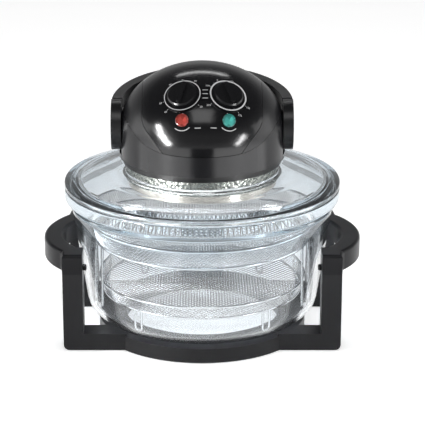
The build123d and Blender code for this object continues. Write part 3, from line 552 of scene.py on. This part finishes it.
def make_finishes(colours):
    """Fills the table of finishes, one for each kind of surface."""
    GROUPS["moulded"] = moulded_group()
    GROUPS["drawn"] = brushed_group()
    GROUPS["crimped"] = hammered_group()
    GROUPS["cast"] = cast_group()
    black = tuple(colours.black)
    gloss = tuple(colours.gloss)
    steel = tuple(colours.steel)
    clear = tuple(colours.glass)
    rim = tuple(colours.rim)
    FINISH["stand"] = plastic("Stand plastic", black, 0.30, 0.35, shine=0.2)
    FINISH["grip"] = plastic("Grip plastic", black, 0.26, 0.3, shine=0.12)
    FINISH["cowl"] = plastic("Cowl plastic", black, 0.20, 0.12)
    FINISH["dome"] = plastic("Dome plastic", black, 0.26, 0.12)
    FINISH["panel"] = plastic("Panel plastic", gloss, 0.13, 0.05)
    FINISH["handle"] = plastic("Handle plastic", gloss, 0.30, 0.25)
    FINISH["knob"] = plastic("Knob plastic", gloss, 0.22, 0.2)
    FINISH["neck"] = plastic("Neck plastic", gloss, 0.28, 0.2)
    FINISH["rubber"] = plastic("Foot rubber", (0.02, 0.02, 0.02), 0.75, 0.9, 1400)
    FINISH["nylon"] = plastic("White nylon", (0.62, 0.62, 0.60), 0.5, 0.3)
    FINISH["unit"] = plastic("Unit casing", (0.07, 0.07, 0.08), 0.5, 0.4)
    FINISH["fibre"] = plastic("Ceramic fibre", (0.60, 0.57, 0.52), 0.95, 1.0, 700)
    FINISH["ceramic"] = plastic("Ceramic", (0.76, 0.73, 0.68), 0.6, 0.6, 1200)
    FINISH["silicone"] = plastic("Silicone", (0.45, 0.45, 0.43), 0.55, 0.4)
    FINISH["wire cover"] = plastic("Wire cover", (0.30, 0.10, 0.03), 0.6, 0.3)
    FINISH["pan"] = metal("Pan steel", steel, 0.16, 0.25)
    band, shader = principled("Band steel", (0.20, 0.21, 0.195), metallic=1.0)
    FINISH["band"] = with_group(
        band, shader, GROUPS["crimped"], {"Cell scale": 260.0, "Depth": 0.7, "Roughness": 0.15}
    )
    FINISH["sheet"] = metal("Zinc sheet", (0.60, 0.61, 0.62), 0.30, 0.5)
    FINISH["shaft"] = metal("Ground steel", (0.60, 0.60, 0.61), 0.22, 0.3)
    FINISH["brass"] = metal("Brass", (0.76, 0.58, 0.28), 0.25, 0.3)
    FINISH["copper"] = metal("Copper", (0.80, 0.45, 0.30), 0.30, 0.3)
    FINISH["fan"] = metal("Fan aluminium", (0.78, 0.78, 0.79), 0.32, 0.4)
    FINISH["motor"] = metal("Motor steel", (0.35, 0.35, 0.37), 0.42, 0.6)
    FINISH["wire"] = metal("Chromed wire", tuple(colours.wire), 0.07, 0.05)
    FINISH["bowl glass"] = glass("Bowl glass", clear, 0.0, 0.10, rim)
    FINISH["lid glass"] = glass("Lid glass", clear, 0.0, 0.06, rim)
    FINISH["tube"] = glass("Quartz tube", (0.93, 0.80, 0.62), 0.12, 0.1)
    FINISH["print"] = plastic("White print", tuple(colours.mark), 0.5, 0.2)
    for name, colour, node in (
        ("red", colours.red, "power_lamp"), ("green", colours.green, "heating_lamp"),
    ):
        material, shader = principled(f"{name.title()} lens", tuple(colour), roughness=0.12)
        tree = material.node_tree
        # The lens colour is scaled by painted facet highlights and painted rim shade.
        facets = tree.nodes.new("ShaderNodeGroup")
        facets.node_tree = GROUPS["cast"]
        low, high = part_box(node)
        facets.inputs["Middle X"].default_value = (low[0] + high[0]) / 2
        facets.inputs["Middle Z"].default_value = (low[2] + high[2]) / 2
        facets.inputs["Radius"].default_value = (high[0] - low[0]) / 2
        shade = tree.nodes.new("ShaderNodeVectorMath")
        shade.operation = "SCALE"
        shade.inputs[0].default_value = tuple(colour)
        tree.links.new(facets.outputs["Painted light"], shade.inputs["Scale"])
        tree.links.new(shade.outputs["Vector"], shader.inputs["Base Color"])
        shader.inputs["Coat Weight"].default_value = 0.4
        FINISH[name] = material


NODE_FINISH = {
    "stand": "stand", "stand_feet": "rubber", "grip_left": "grip", "grip_right": "grip",
    "grip_screws": "sheet", "lid_gasket": "silicone", "neck_ring": "neck",
    "insulation": "fibre", "halogen_tube": "tube", "tube_holders": "ceramic",
    "tube_hangers": "sheet", "guard_grille": "shaft", "thermostat_sensor": "copper",
    "chassis_plate": "sheet", "chassis_screws": "shaft", "motor_bracket": "sheet",
    "fan_motor": "motor", "cowl": "cowl", "dome": "dome", "control_panel": "panel",
    "timer_dial": "panel", "thermostat_dial": "panel", "power_lamp": "red",
    "heating_lamp": "green", "lamp_holders": "nylon", "timer_unit": "unit",
    "thermostat_unit": "unit", "safety_switch": "unit", "inlet_socket": "neck",
    "inlet_pins": "brass", "terminal_block": "nylon", "supply_wires": "wire cover",
    "handle": "handle", "pivot_pin_left": "shaft", "pivot_pin_right": "shaft",
    "switch_plunger": "nylon", "timer_knob": "knob", "thermostat_knob": "knob",
    "timer_shaft": "shaft", "thermostat_shaft": "shaft", "convection_fan": "fan",
    "cooling_fan": "neck", "fan_shaft": "shaft", "fan_nut": "shaft",
    "glass_bowl": "bowl glass", "glass_lid": "lid glass", "reflector_pan": "pan",
    "clamp_band": "band", "retaining_ring": "band", "high_rack": "wire",
    "high_rack_floor": "wire", "high_rack_legs": "wire", "low_rack": "wire",
    "low_rack_floor": "wire", "low_rack_legs": "wire",
}


class OVEN_OT_finishes(bpy.types.Operator):
    """Make the finishes and give one to every part of the frame"""

    bl_idname = "oven.finishes"
    bl_label = "Finishes"

    def execute(self, context):
        make_finishes(context.scene.oven_colours)
        for node, piece in NODES.items():
            finish = NODE_FINISH[node]
            piece.data.materials.clear()
            piece.data.materials.append(FINISH[finish])
        return {"FINISHED"}


# ---- glass ------------------------------------------------------------------


def arc_points(centre, radius, first, last, steps=12):
    """Points (r, z, 0) of an arc about a centre, from one angle to another."""
    a = np.linspace(first, last, steps)
    r = centre[0] + radius * np.cos(a)
    z = centre[1] + radius * np.sin(a)
    return [(float(x), float(y), 0.0) for x, y in zip(r, z)]


def bowl_profile(sizes):
    """Half section of the bowl: foot, round corner, leaning wall, thick collar."""
    low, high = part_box("glass_bowl")
    wall = sizes.glass_wall
    draft = sizes.bowl_draft
    corner = sizes.bowl_corner
    foot_r = 106 * MM
    corner_at = 111 * MM
    under_z = low.z + 4 * MM
    centre = (corner_at, under_z + corner)
    floor_z = under_z + wall
    collar_r = high.x
    lean = math.tan(draft)

    def wall_r(radius, z):
        start = (centre[0] + radius * math.cos(draft), centre[1] - radius * math.sin(draft))
        return start[0] + (z - start[1]) * lean

    neck_z = high.z - 23 * MM
    collar_z = high.z - 13 * MM
    corners = [(0, floor_z, 0), (0, low.z, 0), (foot_r, low.z, 1.5 * MM)]
    corners += [(foot_r, under_z, 1 * MM), (corner_at, under_z, 0)]
    corners += arc_points(centre, corner, -math.pi / 2, -draft)
    corners += [
        (wall_r(corner, neck_z), neck_z, 12 * MM),
        (collar_r, collar_z, 5 * MM),
        (collar_r, high.z, 2.2 * MM),
        (wall_r(corner - wall, high.z), high.z, 1.8 * MM),
    ]
    corners += arc_points(centre, corner - wall, -draft, -math.pi / 2)
    return rounded(corners)


def lid_profile(sizes):
    """Half section of the lid: edge flange, locating lip, crown and thick collar."""
    low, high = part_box("glass_lid")
    edge_z = low.z + 4.3 * MM
    edge_top = edge_z + 6.2 * MM
    shoulder_z = high.z - 9 * MM
    crown_z = high.z - 1.5 * MM
    outer_r = high.x
    shoulder_r = 153 * MM
    crown_r = 95 * MM
    hole_r = 91.5 * MM
    middle = (shoulder_r + crown_r) / 2
    rise = 1.2 * MM
    hole_low = high.z - 8.5 * MM
    wall = sizes.glass_wall
    lip_r = 158.6 * MM
    corners = [
        (shoulder_r, low.z, 1.2 * MM),
        (lip_r, low.z, 1.2 * MM),
        (lip_r, edge_z, 0.4 * MM),
        (outer_r, edge_z, 1.8 * MM),
        (outer_r, edge_top, 2.4 * MM),
        (shoulder_r, shoulder_z, 14 * MM),
        (middle, (shoulder_z + crown_z) / 2 + rise, 60 * MM),
        (crown_r, crown_z, 1.0 * MM),
        (crown_r - 1 * MM, high.z, 1.4 * MM),
        (hole_r, high.z, 1.4 * MM),
        (hole_r, hole_low, 1.4 * MM),
        (crown_r, hole_low, 2 * MM),
        (crown_r + 2 * MM, crown_z - wall, 2 * MM),
        (middle, (shoulder_z + crown_z) / 2 + rise - wall, 60 * MM),
        (shoulder_r - 2 * MM, shoulder_z - wall, 4 * MM),
    ]
    return rounded(corners, 8)


class OVEN_OT_glass(bpy.types.Operator):
    """Blow the bowl and press the lid as smooth surfaces of revolution"""

    bl_idname = "oven.glass"
    bl_label = "Glass"

    def execute(self, context):
        sizes = context.scene.oven_sizes
        for name, profile, finish, node, body in (
            ("bowl_glass", bowl_profile(sizes), "bowl glass", "glass_bowl", "bowl"),
            ("lid_glass", lid_profile(sizes), "lid glass", "glass_lid", "lid"),
        ):
            piece = mesh_piece(name, *revolve(profile, 256), FINISH[finish], body, 40)
            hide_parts(node)
        return {"FINISHED"}


# ---- racks ------------------------------------------------------------------


def ring(radius, height, wire, steps=128):
    """Closed round ring of wire."""
    t = np.linspace(0, 2 * np.pi, steps, endpoint=False)
    path = np.stack([radius * np.cos(t), radius * np.sin(t), np.full(steps, height)], 1)
    return tube(path, wire, np.array([0.0, 0, 1]), 10, closed=True)


def floor_wires(radius, height, pitch, wire, turn):
    """Parallel chords of a circle, a pitch apart, turned about the middle."""
    count = int(radius / pitch)
    off = np.arange(-count, count + 1) * pitch
    half = np.sqrt(np.maximum(radius**2 - off**2, 0))
    keep = half > 4 * pitch
    off = off[keep]
    half = half[keep]
    c, s = math.cos(turn), math.sin(turn)
    level = np.full(len(off), height)
    starts = np.stack([-half * c - off * s, -half * s + off * c, level], 1)
    ends = np.stack([half * c - off * s, half * s + off * c, level], 1)
    return wires(starts, ends, wire)


def side_wires(top_r, top_z, low_r, low_z, count, twist, wire):
    """Slanting wires of the side band, each turned by a twist from its foot to its head."""
    t = np.linspace(0, 2 * np.pi, count, endpoint=False)
    starts = np.stack([low_r * np.cos(t), low_r * np.sin(t), np.full(count, low_z)], 1)
    u = t + twist
    ends = np.stack([top_r * np.cos(u), top_r * np.sin(u), np.full(count, top_z)], 1)
    return wires(starts, ends, wire)


def leg(radius, top_z, low_z, angle, width, wire):
    """U-shaped leg of bent wire at an angle round the rack."""
    bend = width / 2.5
    half = width / 2
    a = np.linspace(-math.pi, -math.pi / 2, 8)
    left = bend - half + bend * np.cos(a)
    rise = low_z + bend + bend * np.sin(a)
    across = np.concatenate([[-half], left, -left[::-1], [half]])
    up = np.concatenate([[top_z], rise, rise[::-1], [top_z]])
    out = np.array([math.cos(angle), math.sin(angle), 0])
    side = np.array([-math.sin(angle), math.cos(angle), 0])
    path = out * radius + across[:, None] * side
    path[:, 2] = up
    return tube(path, wire, out, 10)


class OVEN_OT_racks(bpy.types.Operator):
    """Weave the two wire racks: rings, mesh floor, mesh side and bent legs"""

    bl_idname = "oven.racks"
    bl_label = "Racks"

    def execute(self, context):
        sizes = context.scene.oven_sizes
        thin = sizes.wire_radius
        quarter = math.pi / 4
        for name, node, top_wire, low_r, rise, width, angles in (
            ("high_rack_wire", "high_rack", 2.0, 134.0, 23.0, 30.0, (-20, 20, 160, 200)),
            ("low_rack_wire", "low_rack", 1.5, 124.0, 15.2, 10.0, (52, 128, 232, 308)),
        ):
            nodes = [known for known in NODES if known.startswith(node)]
            foot_z = min(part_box(known)[0].z for known in nodes)
            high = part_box(node)[1]
            wire = top_wire * MM
            low_r = low_r * MM
            top_r = high.x - wire
            top_z = high.z - wire
            floor_z = top_z - rise * MM
            leg_wire = 1.5 * MM
            count = int(2 * math.pi * low_r / (sizes.wire_pitch * 0.95))
            twist = 1.1 * (top_z - floor_z) / low_r
            shape = joined(
                ring(top_r, top_z, wire),
                ring(low_r, floor_z, wire),
                floor_wires(low_r, floor_z + thin, sizes.wire_pitch, thin, quarter),
                floor_wires(low_r, floor_z - thin, sizes.wire_pitch, thin, -quarter),
                side_wires(top_r, top_z, low_r, floor_z, count, twist, thin),
                side_wires(top_r, top_z, low_r, floor_z, count, -twist, thin),
                *[
                    leg(low_r, floor_z, foot_z + leg_wire, math.radians(a), width * MM, leg_wire)
                    for a in angles
                ],
            )
            piece = mesh_piece(name, *shape, FINISH["wire"], node, 50)
            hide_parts(*nodes)
        return {"FINISHED"}


# ---- moulded edges ----------------------------------------------------------

SMOOTHED = (
    "dome", "reflector_pan", "clamp_band", "retaining_ring", "chassis_plate",
    "fan_motor", "convection_fan", "cooling_fan", "halogen_tube", "guard_grille",
    "thermostat_sensor", "supply_wires", "lid_gasket", "insulation", "heating_lamp",
    "power_lamp", "fan_shaft", "fan_nut", "timer_shaft", "thermostat_shaft",
)
BEVELLED = {
    "stand": 1.0, "grip_left": 1.2, "grip_right": 1.2, "cowl": 0.4, "control_panel": 0.5,
    "neck_ring": 0.6, "handle": 0.9, "timer_dial": 0.3, "thermostat_dial": 0.3,
    "inlet_socket": 0.5, "stand_feet": 0.5, "timer_unit": 0.4, "thermostat_unit": 0.4,
    "safety_switch": 0.4, "terminal_block": 0.4, "switch_plunger": 0.2,
    "timer_knob": 0.5, "thermostat_knob": 0.5,
}


class OVEN_OT_edges(bpy.types.Operator):
    """Shade the curved parts smooth and round the edges of the moulded ones"""

    bl_idname = "oven.edges"
    bl_label = "Edges"

    def execute(self, context):
        for node in SMOOTHED + tuple(BEVELLED):
            piece = NODES[node]
            count = len(piece.data.polygons)
            piece.data.polygons.foreach_set("use_smooth", [True] * count)
            weld = piece.modifiers.new("Weld", "WELD")
            weld.merge_threshold = 1e-6
            if node in BEVELLED:
                bevel = piece.modifiers.new("Bevel", "BEVEL")
                bevel.width = BEVELLED[node] * MM
                bevel.segments = 3
                bevel.limit_method = "ANGLE"
                bevel.angle_limit = math.radians(40)
            split = piece.modifiers.new("Split", "EDGE_SPLIT")
            split.split_angle = math.radians(38)
            if node in BEVELLED:
                even = piece.modifiers.new("Normals", "WEIGHTED_NORMAL")
                even.keep_sharp = True
        return {"FINISHED"}


# ---- print on the dome ------------------------------------------------------

DOME_R = 101.8 * MM
DOME_H = 81.4 * MM
DOME_Z = 258.6 * MM
DIAL_RISE = 1.2 * MM
RING_IN = 21.0 * MM
RING_OUT = 22.3 * MM
RING_LINE = 1.3 * MM
TICK_IN = 23.5 * MM
TICK_OUT = 24.7 * MM
FIGURE_AT = 27.6 * MM
BETWEEN_DIALS = (3.5 * MM, -67.0 * MM)
BETWEEN_HALF = 3.2 * MM
SMILE_R = 12.5 * MM
DASH_FROM = 15.0 * MM
DASH_TO = 22.0 * MM
DASH_LOW = 10.0 * MM
LAMPS = ((-23.8 * MM, -89.0 * MM), (31.7 * MM, -87.0 * MM))


class Tangent:
    """Plane that touches the dome, with its x axis level."""

    def __init__(self, normal):
        n = np.asarray(normal, float)
        n = n / np.linalg.norm(n)
        scale = math.sqrt(DOME_R**2 * (n[0] ** 2 + n[1] ** 2) + DOME_H**2 * n[2] ** 2)
        point = np.array([DOME_R**2 * n[0], DOME_R**2 * n[1], DOME_H**2 * n[2]]) / scale
        self.normal = n
        self.origin = point + [0, 0, DOME_Z]
        across = np.array([1.0, 0, 0]) - n[0] * n
        self.across = across / np.linalg.norm(across)
        self.up = np.cross(n, self.across)

    def flat(self, u, v, height):
        """Points of the plane at a height above it."""
        return (
            self.origin
            + np.multiply.outer(u, self.across)
            + np.multiply.outer(v, self.up)
            + np.multiply.outer(height, self.normal)
        )

    def draped(self, u, v, height):
        """The same points dropped along the plane's normal on the dome."""
        p = self.flat(u, v, np.zeros_like(u)) - [0, 0, DOME_Z]
        w = np.array([1 / DOME_R, 1 / DOME_R, 1 / DOME_H])
        q, d = p * w, self.normal * w
        a = d @ d
        b = q @ d
        c = (q * q).sum(1) - 1
        t = (-b + np.sqrt(np.maximum(b * b - a * c, 0))) / a
        return self.flat(u, v, t + height)


def tangent_at(x, y):
    """Tangent plane of the dome above a point."""
    z = DOME_H * math.sqrt(1 - (x * x + y * y) / DOME_R**2)
    return Tangent((x / DOME_R**2, y / DOME_R**2, z / DOME_H**2))


def stripe(place, u, v, width):
    """Thin closed band of print along the points (u, v), laid by a place function."""
    along = np.gradient(np.stack([u, v], 1), axis=0)
    along /= np.linalg.norm(along, axis=1, keepdims=True)
    side = np.stack([-along[:, 1], along[:, 0]], 1) * width / 2
    under = np.full(len(u), -0.05 * MM)
    over = np.full(len(u), 0.08 * MM)
    rows = [
        place(u + side[:, 0], v + side[:, 1], under),
        place(u + side[:, 0], v + side[:, 1], over),
        place(u - side[:, 0], v - side[:, 1], over),
        place(u - side[:, 0], v - side[:, 1], under),
    ]
    verts = np.stack(rows, 1).reshape(-1, 3)
    faces = grid_faces(len(u), 4, False, True)
    faces.append([0, 1, 2, 3])
    faces.append([len(verts) - 4 + k for k in (3, 2, 1, 0)])
    return verts, faces


def dash(place, u0, v0, u1, v1, width):
    """Straight printed line between two points."""
    t = np.linspace(0, 1, 5)
    return stripe(place, u0 + t * (u1 - u0), v0 + t * (v1 - v0), width)


def figure(place, text, u, v, height):
    """Printed figures, centred on a point."""
    curve = bpy.data.curves.new(text, "FONT")
    curve.body = text
    curve.size = height
    curve.align_x = "CENTER"
    curve.align_y = "CENTER"
    curve.extrude = 0.06 * MM
    holder = bpy.data.objects.new(text, curve)
    mesh = bpy.data.meshes.new_from_object(holder)
    co = np.array([vert.co for vert in mesh.vertices], float).reshape(-1, 3)
    faces = [list(face.vertices) for face in mesh.polygons]
    bpy.data.objects.remove(holder)
    bpy.data.curves.remove(curve)
    bpy.data.meshes.remove(mesh)
    return place(co[:, 0] + u, co[:, 1] + v, co[:, 2]), faces


class OVEN_OT_dials(bpy.types.Operator):
    """Print the rings, ticks and figures of the dials and the lines beside the lamps"""

    bl_idname = "oven.dials"
    bl_label = "Dials"

    def execute(self, context):
        sizes = context.scene.oven_sizes
        line = sizes.mark_line
        tall = sizes.mark_text
        scales = (
            (
                "timer_turn", "timer_print", ("0", "10", "20", "30", "40", "50", "60"),
                (92, 58, -38, -90, -140, -172, 125), 0.8,
            ),
            (
                "thermostat_turn", "thermostat_print",
                ("0", "125", "150", "175", "200", "225", "250"),
                (115, 78, -20, -55, -90, -145, 150), 1.3,
            ),
        )
        for joint, name, figures, angles, thick in scales:
            plane = Tangent(JOINTS[joint]["axis"])
            if plane.normal[2] < 0:
                plane = Tangent(-plane.normal)
            t = np.linspace(0, 2 * np.pi, 97)
            ring_r = (RING_IN + RING_OUT) / 2

            def on_dial(u, v, height):
                return plane.flat(u, v, height + DIAL_RISE)

            print_parts = [
                stripe(on_dial, ring_r * np.cos(t), ring_r * np.sin(t), thick * RING_LINE)
            ]
            for text, angle in zip(figures, angles):
                c, sn = math.cos(math.radians(angle)), math.sin(math.radians(angle))
                ends = TICK_IN * c, TICK_IN * sn, TICK_OUT * c, TICK_OUT * sn
                print_parts.append(dash(plane.draped, *ends, line * 0.6))
                print_parts.append(
                    figure(plane.draped, text, FIGURE_AT * c, FIGURE_AT * sn, tall)
                )
            mesh_piece(name, *joined(*print_parts), FINISH["print"], "lid")
        middle = tangent_at(*BETWEEN_DIALS)
        lines = [
            dash(middle.draped, -BETWEEN_HALF, v * MM, BETWEEN_HALF, v * MM, line)
            for v in (6.0, 0.0, -6.5)
        ]
        for x, y in LAMPS:
            plane = tangent_at(x, y)
            t = np.linspace(-2.35, -0.79, 17)
            lines.append(stripe(plane.draped, SMILE_R * np.cos(t), SMILE_R * np.sin(t), line))
            out = 1 if x < 0 else -1
            ends = out * DASH_FROM, -DASH_LOW, out * DASH_TO, -DASH_LOW
            lines.append(dash(plane.draped, *ends, line))
        mesh_piece("panel_print", *joined(*lines), FINISH["print"], "lid")
        return {"FINISHED"}


# ---- studio -----------------------------------------------------------------


# Name, place, width, height, radiance, turn in degrees, and if it is for shine alone.
AIM = (0, 0, 0.28)
SOFTBOXES = (
    ("left_box", (-1.45, -1.0, 0.5), 0.15, 1.2, 210, 38, True),
    ("right_box", (1.5, -1.15, 0.28), 0.2, 0.7, 50, -38, True),
    ("front_box", (0.0, -1.25, 1.95), 0.95, 0.9, 4.2, 0, False),
    ("back_box", (0.0, 1.35, 1.55), 1.0, 0.12, 9, 0, False),
    ("left_side", (-1.9, 0.1, 0.5), 1.2, 0.8, 2.6, 0, False),
    ("right_side", (1.9, 0.1, 0.5), 1.2, 0.8, 2.6, 0, False),
)
# Name, inner and outer radius, first and last angle, radiance.
CARDS = (
    ("left_card", 0.45, 1.3, 15, 92, 3.6),
    ("right_card", 0.45, 1.3, -92, -15, 4.2),
    ("flag", 0.30, 1.4, -15, 15, 0.0),
)
CARD_HEIGHT = 1.5 * MM
# Strength of the surroundings: seen, lighting matt surfaces, and in mirrored light low
# down and high up.
SEEN = 1.0
LIGHTING = 0.42
SHINE_LOW = 0.45
SHINE_HIGH = 0.07
FLOOR_HALF = 6.0
FLOOR_GLOW = 0.48
CAMERA_AT = (0, -2.2766, 0.9088)
CAMERA_AIM = (0, 0, 0.1492)
FOCAL_LENGTH = 163.4
SENSOR_WIDTH = 36
SHIFT_X = 0.0242


def look_at(holder, target):
    """Turns a lamp or a camera so that it looks at a point."""
    holder.rotation_euler = (Vector(target) - holder.location).to_track_quat("-Z", "Y").to_euler()


def softbox(name, place, width, height, radiance, turn, shine_only):
    """Rectangular lamp of a radiance that looks at the aim, turned about its own axis. One
    for the shine alone is seen in mirrored light and lights no matt surface."""
    lamp = bpy.data.lights.new(name, "AREA")
    lamp.shape = "RECTANGLE"
    lamp.size = width
    lamp.size_y = height
    lamp.energy = radiance * math.pi * width * height
    holder = bpy.data.objects.new(name, lamp)
    holder.location = place
    look_at(holder, AIM)
    holder.rotation_euler.rotate_axis("Z", math.radians(turn))
    holder.visible_diffuse = not shine_only
    bpy.context.scene.collection.objects.link(holder)


def card(name, inner, outer, first, last, radiance):
    """Sector of a ring on the floor that only shows in reflections: a white bounce card,
    or a dark flag when its radiance is 0. Angles run from the front, to the left."""
    a = np.radians(np.linspace(first, last, 25))
    verts = np.concatenate([
        np.stack([-r * np.sin(a), -r * np.cos(a), np.full(25, CARD_HEIGHT)], 1)
        for r in (inner, outer)
    ])
    mesh = bpy.data.meshes.new(name)
    mesh.from_pydata(verts.tolist(), [], grid_faces(2, 25, False, False))
    material = bpy.data.materials.new(name)
    material.use_nodes = True
    shader = material.node_tree.nodes["Principled BSDF"]
    shader.inputs["Base Color"].default_value = (0, 0, 0, 1)
    shader.inputs["Specular IOR Level"].default_value = 0.0
    shader.inputs["Emission Color"].default_value = (1, 1, 1, 1)
    shader.inputs["Emission Strength"].default_value = radiance
    mesh.materials.append(material)
    piece = bpy.data.objects.new(name, mesh)
    piece.visible_camera = False
    piece.visible_diffuse = False
    piece.visible_transmission = False
    piece.visible_shadow = False
    bpy.context.scene.collection.objects.link(piece)


def studio_world():
    """White surroundings for the camera, dimmer for what they light."""
    world = bpy.data.worlds.new("Studio")
    bpy.context.scene.world = world
    world.use_nodes = True
    nodes = world.node_tree.nodes
    link = world.node_tree.links.new
    white = nodes["Background"]
    dim = nodes.new("ShaderNodeBackground")
    dark = nodes.new("ShaderNodeBackground")
    for background, strength in ((white, SEEN), (dim, LIGHTING), (dark, SHINE_HIGH)):
        background.inputs["Color"].default_value = (1, 1, 1, 1)
        background.inputs["Strength"].default_value = strength
    place = nodes.new("ShaderNodeTexCoord")
    apart = nodes.new("ShaderNodeSeparateXYZ")
    climb = nodes.new("ShaderNodeMapRange")
    climb.inputs["From Min"].default_value = 0.22
    climb.inputs["From Max"].default_value = 0.55
    climb.inputs["To Min"].default_value = SHINE_LOW
    climb.inputs["To Max"].default_value = SHINE_HIGH
    link(place.outputs["Generated"], apart.inputs["Vector"])
    link(apart.outputs["Z"], climb.inputs["Value"])
    link(climb.outputs["Result"], dark.inputs["Strength"])
    path = nodes.new("ShaderNodeLightPath")
    lit = nodes.new("ShaderNodeMixShader")
    seen = nodes.new("ShaderNodeMixShader")
    link(path.outputs["Is Diffuse Ray"], lit.inputs["Fac"])
    link(white.outputs["Background"], lit.inputs[1])
    link(dim.outputs["Background"], lit.inputs[2])
    link(path.outputs["Is Glossy Ray"], seen.inputs["Fac"])
    link(lit.outputs["Shader"], seen.inputs[1])
    link(dark.outputs["Background"], seen.inputs[2])
    link(seen.outputs["Shader"], nodes["World Output"].inputs["Surface"])


def floor_material(colour):
    """White floor: it takes a soft shadow and stays near white."""
    material = bpy.data.materials.new("Floor")
    material.use_nodes = True
    tree = material.node_tree
    shader = tree.nodes["Principled BSDF"]
    shader.inputs["Base Color"].default_value = (*colour, 1)
    shader.inputs["Roughness"].default_value = 1.0
    shader.inputs["Specular IOR Level"].default_value = 0.0
    shader.inputs["Emission Color"].default_value = (1, 1, 1, 1)
    shader.inputs["Emission Strength"].default_value = FLOOR_GLOW
    return material


class OVEN_OT_studio(bpy.types.Operator):
    """Set up the white studio: floor, soft boxes, world and camera"""

    bl_idname = "oven.studio"
    bl_label = "Studio"

    def execute(self, context):
        scene = context.scene
        scene.view_settings.view_transform = "Standard"
        studio_world()
        half = FLOOR_HALF
        mesh = bpy.data.meshes.new("floor")
        mesh.from_pydata(
            [(-half, -half, 0), (half, -half, 0), (half, half, 0), (-half, half, 0)],
            [],
            [(0, 1, 2, 3)],
        )
        mesh.materials.append(floor_material(tuple(scene.oven_colours.floor)))
        floor = bpy.data.objects.new("floor", mesh)
        scene.collection.objects.link(floor)
        for row in SOFTBOXES:
            softbox(*row)
        for row in CARDS:
            card(*row)
        lens = bpy.data.cameras.new("camera")
        lens.sensor_width = SENSOR_WIDTH
        lens.lens = FOCAL_LENGTH
        lens.shift_x = SHIFT_X
        camera = bpy.data.objects.new("camera", lens)
        camera.location = CAMERA_AT
        look_at(camera, CAMERA_AIM)
        scene.collection.objects.link(camera)
        scene.camera = camera
        return {"FINISHED"}


# ---- add-on -----------------------------------------------------------------


class OVEN_PT_panel(bpy.types.Panel):
    """Buttons and values of the oven"""

    bl_idname = "OVEN_PT_panel"
    bl_label = "Halogen Oven"
    bl_space_type = "VIEW_3D"
    bl_region_type = "UI"
    bl_category = "Oven"

    def draw(self, context):
        layout = self.layout
        for group in (context.scene.oven_sizes, context.scene.oven_colours):
            box = layout.box()
            for name in group.__annotations__:
                box.prop(group, name)
        for operator in OPERATORS:
            layout.operator(operator.bl_idname)


OPERATORS = (
    OVEN_OT_finishes, OVEN_OT_glass, OVEN_OT_racks, OVEN_OT_edges, OVEN_OT_dials,
    OVEN_OT_studio,
)
CLASSES = (OvenSizes, OvenColours, *OPERATORS, OVEN_PT_panel)


def register():
    for each in CLASSES:
        bpy.utils.register_class(each)
    bpy.types.Scene.oven_sizes = bpy.props.PointerProperty(type=OvenSizes)
    bpy.types.Scene.oven_colours = bpy.props.PointerProperty(type=OvenColours)


def unregister():
    del bpy.types.Scene.oven_colours
    del bpy.types.Scene.oven_sizes
    for each in reversed(CLASSES):
        bpy.utils.unregister_class(each)


def main():
    """Runs every step in order."""
    register()
    bpy.ops.oven.finishes()
    bpy.ops.oven.glass()
    bpy.ops.oven.racks()
    bpy.ops.oven.edges()
    bpy.ops.oven.dials()
    bpy.ops.oven.studio()


if __name__ == "__main__":
    main()
